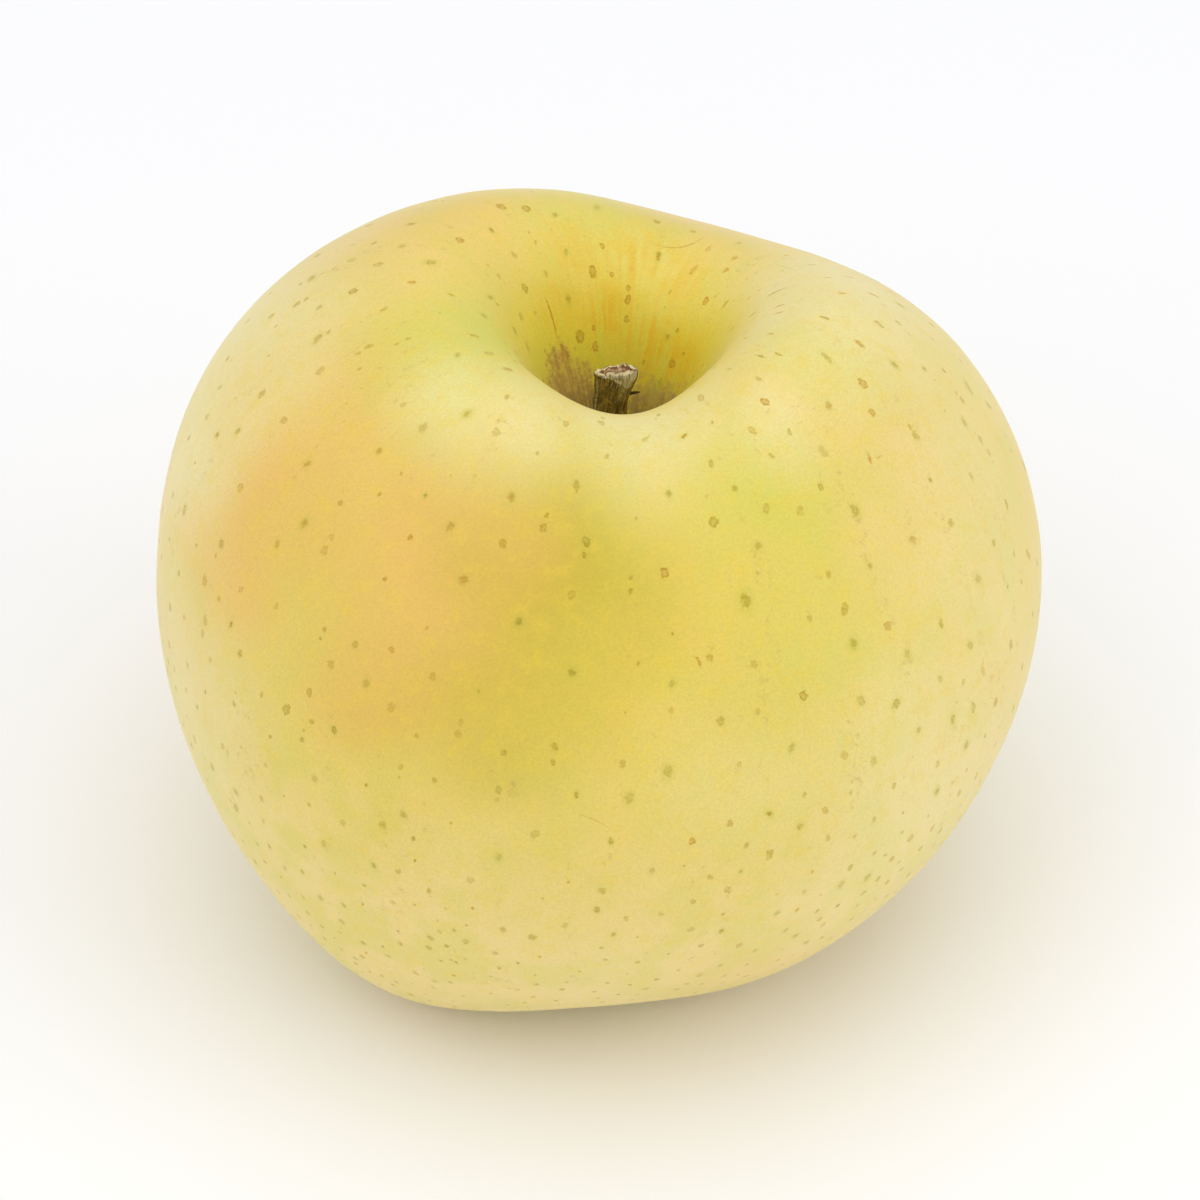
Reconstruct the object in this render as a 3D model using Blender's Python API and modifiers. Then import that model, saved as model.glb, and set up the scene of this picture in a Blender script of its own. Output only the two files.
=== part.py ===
"""A whole yellow apple: the lobed fruit, the cut stub of its woody stem and the dried calyx in its base."""

import math

import bmesh
import bpy
import numpy as np
from mathutils import Matrix, Vector

MM = 0.001

# The fruit before it is modelled: a turned body, wider above than below
BODY_RADIUS = 40.0 * MM
HALF_HEIGHT = 34.1 * MM
TOP_TAPER = 0.084
LOWER_NARROWING = 0.138
HALF_BLEND = 3.0

# The stem pit: a wide mouth with a narrower throat below it, off the middle of the fruit
MOUTH_DEPTH = 12.2 * MM
MOUTH_RADIUS = 11.3 * MM
MOUTH_STEEPNESS = 2.1
THROAT_DEPTH = 9.1 * MM
THROAT_RADIUS = 7.6 * MM
THROAT_STEEPNESS = 3.4
PIT_SHIFT = Vector((0.7 * MM, 1.7 * MM))
PIT_SHIFT_REACH = 18.0 * MM

# The basin in the base
BASIN_DEPTH = 11.0 * MM
BASIN_RADIUS = 12.2 * MM

# The five lobes: the direction of each in degrees, and how strong it is
LOBES = {-130.0: 2.1, -40.0: 1.8, 9.0: 1.1, 103.0: 1.5, 154.0: 0.65}
LOBE_TIGHTNESS = 5.0
LOBE_SHOULDER_OUT = 0.3 * MM
LOBE_SHOULDER_UP = 1.7 * MM
LOBE_CROWN_OUT = 1.8 * MM

# Heights on the fruit, from -1 at the base to 1 at the top, and how far each band reaches
SHOULDER_BAND = 0.62
CROWN_BAND = -0.80
BAND_REACH = 0.38

# The uneven growth: how many swells a turn has, the direction of one in degrees, and its size
SHOULDER_SWELLS = ((1, 175.0, 1.5 * MM), (2, 11.0, 0.6 * MM))
CROWN_SWELLS = ((1, 18.0, 1.5 * MM), (2, 42.0, 1.8 * MM))
TOP_SWELLS = ((1, -132.0, 3.3 * MM), (2, -12.0, 4.0 * MM))
TOP_SWELL_START = 0.25
LEAN = Vector((2.3 * MM, 2.5 * MM))
LEAN_HEIGHT = 36.0 * MM

# Where a lobe is highest at the top, as a share of the body's radius
SHOULDER_CREST = 0.50
SHOULDER_CREST_REACH = 0.30

# The five even feet round the basin, the direction of the first in degrees, and the flat they rest on
FEET = 5
FIRST_FOOT = -130.0
FOOT_DROP = 2.2 * MM
FOOT_CREST = 0.42
FOOT_CREST_REACH = 0.26
FOOT_FLAT = 0.6 * MM

FRUIT_RINGS = 44
FRUIT_STEPS = 84
PROFILE_SAMPLES = 2000

# Separate pieces keep this gap, and a cutter reaches this far out of what it cuts
CLEARANCE = 0.3 * MM
CUTTER_PAST = 2.0 * MM
CUTTER_STEPS = 24
POLE_REACH = 5.0 * MM

# The stem stub stands in a short socket and leans a little; its cut end slopes away from the side shown
STEM_LENGTH = 14.7 * MM
STEM_SOCKET = 2.4 * MM
STEM_LEAN = Vector((-0.7 * MM, 0.1 * MM))
STEM_BASE_RADIUS = 1.75 * MM
STEM_NECK_RADIUS = 1.5 * MM
STEM_TOP_RADIUS = 2.0 * MM
STEM_FLARE = 2.8 * MM
STEM_RIM = 0.45 * MM
STEM_CUT_SINK = 0.25 * MM
STEM_CUT_UNEVEN = 0.3 * MM
STEM_THREE_SIDED = 0.06
STEM_STEPS = 20

# The cut's slope and the flared end's shift come in between two shares of the stem's length
STEM_CUT_SLOPE = 0.45
STEM_END_SHIFT = 0.65 * MM
STEM_END_START = 0.75
STEM_END_FULL = 0.95

# The dry splinter, with its distance below the cut and its tilt from upright in degrees
BRACT_LENGTH = 2.2 * MM
BRACT_RADIUS = 0.28 * MM
BRACT_DROP = 2.6 * MM
BRACT_TILT = 80.0
BRACT_STEPS = 8

# The calyx: a button with five sepals that curl outwards, below the middle of the basin
BUTTON_RADIUS = 2.9 * MM
BUTTON_HEIGHT = 1.7 * MM
BUTTON_EDGE = 0.4 * MM
BUTTON_STEPS = 24
EYE_DEPTH = 0.9 * MM
SEPALS = 5
SEPAL_WIDTH = 2.6 * MM
SEPAL_TIP = 0.24 * MM
SEPAL_CUP = 0.25
SEPAL_THICKNESS = 0.5 * MM
SEPAL_ROWS = 7
SEPAL_PATH = ((2.0 * MM, 0.9 * MM), (2.7 * MM, 2.4 * MM), (3.5 * MM, 3.7 * MM), (5.3 * MM, 4.5 * MM))

SKIN_COLOUR = (0.80, 0.66, 0.20, 1.0)
WOOD_COLOUR = (0.14, 0.10, 0.055, 1.0)
CALYX_COLOUR = (0.20, 0.13, 0.07, 1.0)


def clear_scene():
    for obj in list(bpy.data.objects):
        bpy.data.objects.remove(obj)


def new_collection(name):
    collection = bpy.data.collections.new(name)
    bpy.context.scene.collection.children.link(collection)
    return collection


def new_material(name, colour, roughness):
    material = bpy.data.materials.new(name)
    material.use_nodes = True
    shader = material.node_tree.nodes["Principled BSDF"]
    shader.inputs["Base Color"].default_value = colour
    shader.inputs["Roughness"].default_value = roughness
    shader.inputs["Metallic"].default_value = 0.0
    return material


def add_object(name, mesh, collection, material=None):
    obj = bpy.data.objects.new(name, mesh)
    collection.objects.link(obj)
    if material:
        mesh.materials.append(material)
        mesh.shade_smooth()
    return obj


def turned_mesh(name, profile, steps, collection):
    """The mesh of a profile of (radius, height) points, listed from top to bottom, turned once round Z."""
    line = bpy.data.meshes.new(name)
    points = [(radius, 0.0, height) for radius, height in profile]
    line.from_pydata(points, [(i, i + 1) for i in range(len(points) - 1)], [])
    obj = add_object(name, line, collection)
    screw = obj.modifiers.new("turn", "SCREW")
    screw.steps = steps
    screw.render_steps = steps
    screw.use_merge_vertices = True
    screw.merge_threshold = 0.01 * MM
    graph = bpy.context.evaluated_depsgraph_get()
    mesh = bpy.data.meshes.new_from_object(obj.evaluated_get(graph))
    mesh.name = name
    bpy.data.objects.remove(obj)
    return mesh


def move_points(mesh, rule):
    """Passes every vertex of the mesh through rule, which takes and returns an array of points."""
    points = np.empty(len(mesh.vertices) * 3)
    mesh.vertices.foreach_get("co", points)
    mesh.vertices.foreach_set("co", rule(points.reshape(-1, 3)).ravel())
    mesh.update()


def bell(value, middle, reach):
    return np.exp(-(((value - middle) / reach) ** 2))


def swells(direction, parts):
    """The sum of slow waves round the fruit."""
    return sum(size * np.cos(folds * (direction - math.radians(toward))) for folds, toward, size in parts)


def plain_body(level):
    """Radius and height of the turned body at a level from 1 at the top to -1 at the base."""
    upper = 0.5 * (1.0 + np.tanh(HALF_BLEND * level))
    sine = np.sqrt(np.clip(1.0 - level**2, 0.0, 1.0))
    radius = BODY_RADIUS * sine ** (1.0 + LOWER_NARROWING * (1.0 - upper)) * (1.0 + TOP_TAPER * level)
    return radius, HALF_HEIGHT * level


def hollows(radius, level):
    """How far the pit and the basin move a point of the skin up."""
    upper = 0.5 * (1.0 + np.tanh(HALF_BLEND * level))
    mouth = MOUTH_DEPTH * np.exp(-((radius / MOUTH_RADIUS) ** MOUTH_STEEPNESS))
    throat = THROAT_DEPTH * np.exp(-((radius / THROAT_RADIUS) ** THROAT_STEEPNESS))
    basin = BASIN_DEPTH * np.exp(-((radius / BASIN_RADIUS) ** 2))
    return basin * (1.0 - upper) - (mouth + throat) * upper


def model_fruit(points):
    """Moves points of the plain turned body to the skin of the fruit."""
    direction = np.arctan2(points[:, 1], points[:, 0])
    level = np.clip(points[:, 2] / HALF_HEIGHT, -1.0, 1.0)
    radius, height = plain_body(level)
    upper = 0.5 * (1.0 + np.tanh(HALF_BLEND * level))
    share = radius / BODY_RADIUS
    from_pole = np.minimum(1.0, 4.0 * share)
    shoulder = bell(level, SHOULDER_BAND, BAND_REACH) * from_pole
    crown = bell(level, CROWN_BAND, BAND_REACH) * from_pole
    crest = bell(share, SHOULDER_CREST, SHOULDER_CREST_REACH) * upper * from_pole
    foot = bell(share, FOOT_CREST, FOOT_CREST_REACH) * (1.0 - upper) * from_pole
    top = share / (TOP_SWELL_START + share) * np.clip(level, 0.0, 1.0)

    out = shoulder * swells(direction, SHOULDER_SWELLS) + crown * swells(direction, CROWN_SWELLS)
    rise = top * swells(direction, TOP_SWELLS) + hollows(radius, level)
    for toward, strength in LOBES.items():
        ridge = np.exp(LOBE_TIGHTNESS * (np.cos(direction - math.radians(toward)) - 1.0))
        out += (LOBE_SHOULDER_OUT * shoulder + LOBE_CROWN_OUT * crown) * ridge * strength
        rise += LOBE_SHOULDER_UP * crest * ridge * strength
    rise -= FOOT_DROP * foot * (0.5 + 0.5 * np.cos(FEET * (direction - math.radians(FIRST_FOOT))))

    across = np.maximum(radius + out, 0.0)
    height = height + rise
    pit_pull = bell(radius, 0.0, PIT_SHIFT_REACH) * upper
    x = across * np.cos(direction) + LEAN.x * height / LEAN_HEIGHT + PIT_SHIFT.x * pit_pull
    y = across * np.sin(direction) + LEAN.y * height / LEAN_HEIGHT + PIT_SHIFT.y * pit_pull
    return np.stack([x, y, height], axis=1)


def even_levels(rings):
    """Levels whose rings lie evenly along the skin, pit and basin included."""
    fine = np.cos(np.linspace(0.0, math.pi, PROFILE_SAMPLES))
    radius, height = plain_body(fine)
    height = height + hollows(radius, fine)
    along = np.concatenate([[0.0], np.cumsum(np.hypot(np.diff(radius), np.diff(height)))])
    return np.interp(np.linspace(0.0, along[-1], rings), along, fine)


def stand_on_feet(points):
    """Flattens the feet, and puts the middle of the fruit's box over the origin with the feet on z = 0."""
    floor = points[:, 2].min() + FOOT_FLAT
    points[:, 2] = np.maximum(points[:, 2], floor)
    low, high = points.min(axis=0), points.max(axis=0)
    return points - np.array([(low[0] + high[0]) / 2, (low[1] + high[1]) / 2, floor])


def make_fruit(collection, material):
    profile = [plain_body(level) for level in even_levels(FRUIT_RINGS)]
    mesh = turned_mesh("fruit", profile, FRUIT_STEPS, collection)
    move_points(mesh, model_fruit)
    move_points(mesh, stand_on_feet)
    return add_object("fruit", mesh, collection, material)


def pole(obj, top):
    """The point of the fruit's mesh at the bottom of its pit, or at the top of its basin."""
    middle = [v.co for v in obj.data.vertices if math.hypot(v.co.x, v.co.y) < POLE_REACH]
    hollow = [co for co in middle if (co.z > HALF_HEIGHT) == top]
    return (min if top else max)(hollow, key=lambda co: co.z).copy()


def cut_round_hole(obj, name, radius, start, end, cutters):
    """Cuts an upright round hole from obj, between two heights on one axis."""
    mesh = bpy.data.meshes.new(name)
    shape = bmesh.new()
    bmesh.ops.create_cone(
        shape,
        cap_ends=True,
        segments=CUTTER_STEPS,
        radius1=radius,
        radius2=radius,
        depth=(end - start).length,
        matrix=Matrix.Translation((start + end) / 2),
    )
    shape.to_mesh(mesh)
    shape.free()
    cutter = add_object(name, mesh, cutters)
    cutter.hide_render = True
    cutter.display_type = "WIRE"
    boolean = obj.modifiers.new(name, "BOOLEAN")
    boolean.operation = "DIFFERENCE"
    boolean.object = cutter


def stem_profile():
    """Radius and height of the stem from its cut top to its base, which swells into the socket."""
    return (
        (0.0, STEM_LENGTH - STEM_CUT_SINK),
        (STEM_TOP_RADIUS * 0.55, STEM_LENGTH - STEM_CUT_SINK * 0.8),
        (STEM_TOP_RADIUS * 0.93, STEM_LENGTH),
        (STEM_TOP_RADIUS, STEM_LENGTH - STEM_RIM),
        (STEM_TOP_RADIUS * 0.93, STEM_LENGTH - STEM_RIM * 2.9),
        (STEM_NECK_RADIUS * 1.1, STEM_LENGTH - STEM_FLARE),
        (STEM_NECK_RADIUS, STEM_LENGTH * 0.6),
        (STEM_NECK_RADIUS * 1.05, STEM_LENGTH * 0.35),
        (STEM_BASE_RADIUS * 0.9, STEM_SOCKET * 1.3),
        (STEM_BASE_RADIUS, STEM_SOCKET * 0.6),
        (STEM_BASE_RADIUS, 0.0),
        (0.0, 0.0),
    )


def model_stem(points):
    """Leans the stem, makes it slightly three-sided, and cuts its flared end unevenly and at a slant."""
    direction = np.arctan2(points[:, 1], points[:, 0])
    share = points[:, 2] / STEM_LENGTH
    size = 1.0 + STEM_THREE_SIDED * np.cos(3 * direction + 0.6) * np.clip(share * 2, 0.0, 1.0)
    uneven = np.sin(2 * direction + 0.8) + 0.5 * np.cos(5 * direction)
    moved = points * np.stack([size, size, np.ones(len(points))], axis=1)
    end = np.clip((share - STEM_END_START) / (STEM_END_FULL - STEM_END_START), 0.0, 1.0)
    moved[:, 0] += STEM_LEAN.x * share + STEM_END_SHIFT * end
    moved[:, 1] += STEM_LEAN.y * share
    rim = np.clip(np.hypot(points[:, 0], points[:, 1]) / STEM_TOP_RADIUS, 0.0, 1.0)
    moved[:, 2] += STEM_CUT_UNEVEN * uneven * rim * (share > STEM_END_FULL) - STEM_CUT_SLOPE * points[:, 1] * end
    return moved


def make_bract(collection):
    """The small dry splinter that stands out of the stem's side."""
    mesh = bpy.data.meshes.new("bract")
    shape = bmesh.new()
    sideways = Matrix.Rotation(math.radians(BRACT_TILT), 4, "Y")
    middle = Vector((BRACT_LENGTH / 2, 0.0, STEM_LENGTH - BRACT_DROP))
    bmesh.ops.create_cone(
        shape,
        cap_ends=True,
        segments=BRACT_STEPS,
        radius1=BRACT_RADIUS,
        radius2=BRACT_RADIUS * 0.45,
        depth=BRACT_LENGTH,
        matrix=Matrix.Translation(middle) @ sideways,
    )
    shape.to_mesh(mesh)
    shape.free()
    return add_object("bract", mesh, collection)


def fuse(obj, extras, pieces):
    """Joins the pieces of the extras collection to obj as one body, and removes them."""
    union = obj.modifiers.new("union", "BOOLEAN")
    union.operation = "UNION"
    union.operand_type = "COLLECTION"
    union.collection = extras
    graph = bpy.context.evaluated_depsgraph_get()
    joined = bpy.data.meshes.new_from_object(obj.evaluated_get(graph))
    obj.modifiers.clear()
    obj.data = joined
    for piece in pieces:
        bpy.data.objects.remove(piece)
    bpy.data.collections.remove(extras)


def make_stem(collection, material, place):
    mesh = turned_mesh("stem", stem_profile(), STEM_STEPS, collection)
    move_points(mesh, model_stem)
    stem = add_object("stem", mesh, collection, material)
    extras = new_collection("stem_extras")
    fuse(stem, extras, [make_bract(extras)])
    stem.data.shade_smooth()
    stem.location = place
    return stem


def sepal_mesh():
    """A pointed blade along SEPAL_PATH, in the plane of X and Z with its tip away from the middle."""
    path = [Vector((out, 0.0, -down)) for out, down in SEPAL_PATH]
    rows = []
    for row in range(SEPAL_ROWS):
        share = row / (SEPAL_ROWS - 1)
        place = bezier(path, share)
        half = (SEPAL_WIDTH * (1.0 - share**1.6) + SEPAL_TIP) / 2
        rows.append((place, half))
    shape = bmesh.new()
    lines = []
    for place, half in rows:
        cup = Vector((SEPAL_CUP * half, 0.0, 0.0))
        lines.append(
            [
                shape.verts.new(place + Vector((0.0, -half, 0.0)) - cup),
                shape.verts.new(place),
                shape.verts.new(place + Vector((0.0, half, 0.0)) - cup),
            ]
        )
    for first, second in zip(lines, lines[1:]):
        for side in range(2):
            shape.faces.new((first[side], first[side + 1], second[side + 1], second[side]))
    mesh = bpy.data.meshes.new("sepal")
    shape.to_mesh(mesh)
    shape.free()
    return mesh


def bezier(path, share):
    """A point of the smooth curve that the four points of path shape."""
    near, out, bend, far = path
    rest = 1.0 - share
    return near * rest**3 + out * 3 * rest**2 * share + bend * 3 * rest * share**2 + far * share**3


def make_calyx(collection, material, place):
    button = (
        (0.0, 0.0),
        (BUTTON_RADIUS * 0.9, 0.0),
        (BUTTON_RADIUS, -BUTTON_EDGE),
        (BUTTON_RADIUS * 0.92, -BUTTON_HEIGHT * 0.8),
        (BUTTON_RADIUS * 0.6, -BUTTON_HEIGHT),
        (0.0, -BUTTON_HEIGHT * 0.7),
    )
    calyx = add_object("calyx", turned_mesh("calyx", button, BUTTON_STEPS, collection), collection, material)
    extras = new_collection("calyx_extras")
    sepals = []
    for number in range(SEPALS):
        sepal = add_object(f"sepal_{number}", sepal_mesh(), extras)
        sepal.rotation_euler.z = 2 * math.pi * (number + 0.3) / SEPALS
        thickness = sepal.modifiers.new("thickness", "SOLIDIFY")
        thickness.thickness = SEPAL_THICKNESS
        thickness.offset = 0.0
        sepals.append(sepal)
    fuse(calyx, extras, sepals)
    calyx.data.shade_smooth()
    calyx.location = place
    return calyx


def main():
    clear_scene()
    collection = new_collection("apple")
    cutters = new_collection("cutters")
    skin = new_material("waxy yellow skin", SKIN_COLOUR, 0.42)
    wood = new_material("dry stem wood", WOOD_COLOUR, 0.85)
    dried = new_material("dried calyx", CALYX_COLOUR, 0.9)

    fruit = make_fruit(collection, skin)
    pit_floor = pole(fruit, top=True)
    basin_roof = pole(fruit, top=False)

    stem_foot = pit_floor - Vector((0.0, 0.0, STEM_SOCKET))
    make_stem(collection, wood, stem_foot)
    socket_end = stem_foot - Vector((0.0, 0.0, CLEARANCE))
    socket_start = pit_floor + Vector((0.0, 0.0, CUTTER_PAST))
    cut_round_hole(fruit, "stem_socket", STEM_BASE_RADIUS + CLEARANCE, socket_end, socket_start, cutters)

    eye_roof = basin_roof + Vector((0.0, 0.0, EYE_DEPTH))
    make_calyx(collection, dried, eye_roof - Vector((0.0, 0.0, CLEARANCE)))
    eye_start = basin_roof - Vector((0.0, 0.0, CUTTER_PAST))
    cut_round_hole(fruit, "eye", BUTTON_RADIUS + CLEARANCE, eye_start, eye_roof, cutters)


main()
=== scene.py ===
import math

import bpy
import numpy as np
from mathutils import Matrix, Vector, noise
from mathutils.kdtree import KDTree


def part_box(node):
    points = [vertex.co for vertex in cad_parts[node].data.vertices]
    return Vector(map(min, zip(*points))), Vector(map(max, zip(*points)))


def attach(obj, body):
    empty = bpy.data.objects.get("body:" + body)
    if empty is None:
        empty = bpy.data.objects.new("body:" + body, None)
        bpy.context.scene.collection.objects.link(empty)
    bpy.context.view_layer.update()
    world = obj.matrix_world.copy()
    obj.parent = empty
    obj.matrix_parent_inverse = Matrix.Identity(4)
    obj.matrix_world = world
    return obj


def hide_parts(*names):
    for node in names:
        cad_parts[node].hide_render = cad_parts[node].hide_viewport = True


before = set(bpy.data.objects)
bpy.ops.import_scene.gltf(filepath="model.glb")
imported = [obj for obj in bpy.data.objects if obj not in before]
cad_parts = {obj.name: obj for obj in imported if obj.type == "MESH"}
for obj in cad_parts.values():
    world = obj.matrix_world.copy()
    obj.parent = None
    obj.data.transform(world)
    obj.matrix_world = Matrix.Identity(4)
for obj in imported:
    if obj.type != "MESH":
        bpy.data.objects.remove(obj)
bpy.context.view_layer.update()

mm = 0.001

# The fruit's form in millimetres and degrees. A level runs from 1 at the stem to -1 at the calyx
fruitForm = {
    "bodyRadius": 40.0,
    "halfHeight": 34.1,
    "topTaper": 0.084,
    "lowerNarrowing": 0.138,
    "halfBlend": 3.0,
    "mouth": (12.2, 11.3, 2.1),  # depth, radius and steepness
    "throat": (9.1, 7.6, 3.4),
    "basin": (11.0, 12.2, 2.0),
    "pitShift": (0.7, 1.7),
    "pitShiftReach": 18.0,
    "lobes": {-130: 2.1, -40: 1.8, 9: 1.1, 103: 1.5, 154: 0.65},  # direction: strength
    "lobeTightness": 5.0,
    "lobeShoulderOut": 0.3,
    "lobeShoulderUp": 1.7,
    "lobeCrownOut": 1.8,
    "shoulderBand": (0.62, 0.38),  # level and reach
    "crownBand": (-0.80, 0.38),
    "shoulderSwells": ((1, 175, 1.5), (2, 11, 0.6)),  # swells in a turn, direction, size
    "crownSwells": ((1, 18, 1.5), (2, 42, 1.8)),
    "topSwells": ((1, -132, 3.3), (2, -12, 4.0)),
    "topSwellStart": 0.25,
    "shoulderCrest": (0.50, 0.30),
    "footCrest": (0.42, 0.26),
    "feet": 5,
    "firstFoot": -130,
    "footDrop": 2.2,
    "footFlat": 0.6,
    "lean": (2.3, 2.5),
    "leanHeight": 36.0,
    "rings": 300,
    "steps": 320,
    "profileSamples": 4000,
    "unevenness": 0.16,  # slow bumps that no grown fruit is without
    "unevennessLength": 13.0,
    "unevennessFade": (6.0, 0.2),  # height over which the bumps come in, and the share left out at the floor
    "growthUnit": 40.0,  # millimetres along the skin for one unit of growth
}


def bell(value, middle, reach):
    return np.exp(-(((value - middle) / reach) ** 2))


def upperShare(level):
    return 0.5 * (1.0 + np.tanh(fruitForm["halfBlend"] * level))


def swellSum(direction, parts):
    return sum(size * np.cos(folds * (direction - math.radians(toward))) for folds, toward, size in parts)


def plainBody(level):
    # radius and height of the turned body, before lobes and hollows
    form = fruitForm
    sine = np.sqrt(np.clip(1.0 - level**2, 0.0, 1.0))
    narrowing = 1.0 + form["lowerNarrowing"] * (1.0 - upperShare(level))
    radius = form["bodyRadius"] * sine**narrowing * (1.0 + form["topTaper"] * level)
    return radius, form["halfHeight"] * level


def hollowRise(radius, level):
    # how far the pit and the basin move the skin up
    def hollow(depth, reach, steepness):
        return depth * np.exp(-((radius / reach) ** steepness))

    upper = upperShare(level)
    form = fruitForm
    pit = hollow(*form["mouth"]) + hollow(*form["throat"])
    return hollow(*form["basin"]) * (1.0 - upper) - pit * upper


def skinPoints(direction, level):
    # the skin at each direction (radians) and level, in millimetres
    form = fruitForm
    radius, height = plainBody(level)
    upper = upperShare(level)
    share = radius / form["bodyRadius"]
    fromPole = np.minimum(1.0, 4.0 * share)
    shoulder = bell(level, *form["shoulderBand"]) * fromPole
    crown = bell(level, *form["crownBand"]) * fromPole
    crest = bell(share, *form["shoulderCrest"]) * upper * fromPole
    foot = bell(share, *form["footCrest"]) * (1.0 - upper) * fromPole
    top = share / (form["topSwellStart"] + share) * np.clip(level, 0.0, 1.0)

    out = shoulder * swellSum(direction, form["shoulderSwells"])
    out = out + crown * swellSum(direction, form["crownSwells"])
    rise = top * swellSum(direction, form["topSwells"]) + hollowRise(radius, level)
    for toward, strength in form["lobes"].items():
        ridge = strength * np.exp(form["lobeTightness"] * (np.cos(direction - math.radians(toward)) - 1.0))
        out = out + (form["lobeShoulderOut"] * shoulder + form["lobeCrownOut"] * crown) * ridge
        rise = rise + form["lobeShoulderUp"] * crest * ridge
    footWave = np.cos(form["feet"] * (direction - math.radians(form["firstFoot"])))
    rise = rise - form["footDrop"] * foot * (0.5 + 0.5 * footWave)

    across = np.maximum(radius + out, 0.0)
    height = height + rise
    pitPull = bell(radius, 0.0, form["pitShiftReach"]) * upper
    leaning = height / form["leanHeight"]
    x = across * np.cos(direction) + form["lean"][0] * leaning + form["pitShift"][0] * pitPull
    y = across * np.sin(direction) + form["lean"][1] * leaning + form["pitShift"][1] * pitPull
    return np.stack([x, y, height], axis=-1)


def evenLevels(rings):
    # levels whose rings lie evenly along the skin
    fine = np.cos(np.linspace(0.0, math.pi, fruitForm["profileSamples"]))
    radius, height = plainBody(fine)
    height = height + hollowRise(radius, fine)
    along = np.concatenate([[0.0], np.cumsum(np.hypot(np.diff(radius), np.diff(height)))])
    return np.interp(np.linspace(0.0, along[-1], rings), along, fine)


def skinGrid():
    # rings x steps of skin points over the CAD fruit, with their levels and directions
    form = fruitForm
    levels = evenLevels(form["rings"])
    directions = np.linspace(-math.pi, math.pi, form["steps"], endpoint=False)
    level, direction = np.meshgrid(levels, directions, indexing="ij")
    points = skinPoints(direction, level)
    low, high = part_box("fruit")
    floor = points[..., 2].min() + form["footFlat"]
    points[..., 2] = np.maximum(points[..., 2], floor)
    middle = (points.reshape(-1, 3).min(axis=0) + points.reshape(-1, 3).max(axis=0)) / 2
    boxMiddle = (low + high) / 2 / mm
    shift = np.array([boxMiddle.x - middle[0], boxMiddle.y - middle[1], low.z / mm - floor])
    return points + shift, level, direction, shift


def gridNormals(points):
    along = np.gradient(points, axis=0)
    around = (np.roll(points, -1, axis=1) - np.roll(points, 1, axis=1)) / 2
    normals = np.cross(along, around)
    length = np.linalg.norm(normals, axis=-1, keepdims=True)
    return normals / np.maximum(length, 1e-9)


def addUnevenness(points):
    # the bumps fade out near the floor, so that the feet stay flat
    length = fruitForm["unevennessLength"]
    height, lost = fruitForm["unevennessFade"]
    flat = points.reshape(-1, 3)
    bumps = noiseAt(flat / length) + 0.4 * noiseAt(flat / length * 2.3)
    bumps = bumps.reshape(points.shape[:2]) * np.clip(points[..., 2] / height - lost, 0.0, 1.0)
    return points + gridNormals(points) * bumps[..., None] * fruitForm["unevenness"]


def newMesh(name, points, faces):
    mesh = bpy.data.meshes.new(name)
    mesh.from_pydata(points, [], faces)
    mesh.update()
    mesh.shade_smooth()
    return mesh


def noiseAt(places):
    return np.array([noise.noise(Vector(place)) for place in places])


def newPiece(name, mesh, material, node):
    piece = bpy.data.objects.new(name, mesh)
    bpy.context.scene.collection.objects.link(piece)
    mesh.materials.append(material)
    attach(piece, "root")
    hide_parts(node)
    return piece


def tubeFaces(rings, steps):
    # quads between rings of a closed round, laid out ring by ring
    faces = []
    for ring in range(rings - 1):
        here, below = ring * steps, (ring + 1) * steps
        for step in range(steps):
            after = (step + 1) % steps
            faces.append((here + step, below + step, below + after, here + after))
    return faces


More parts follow.
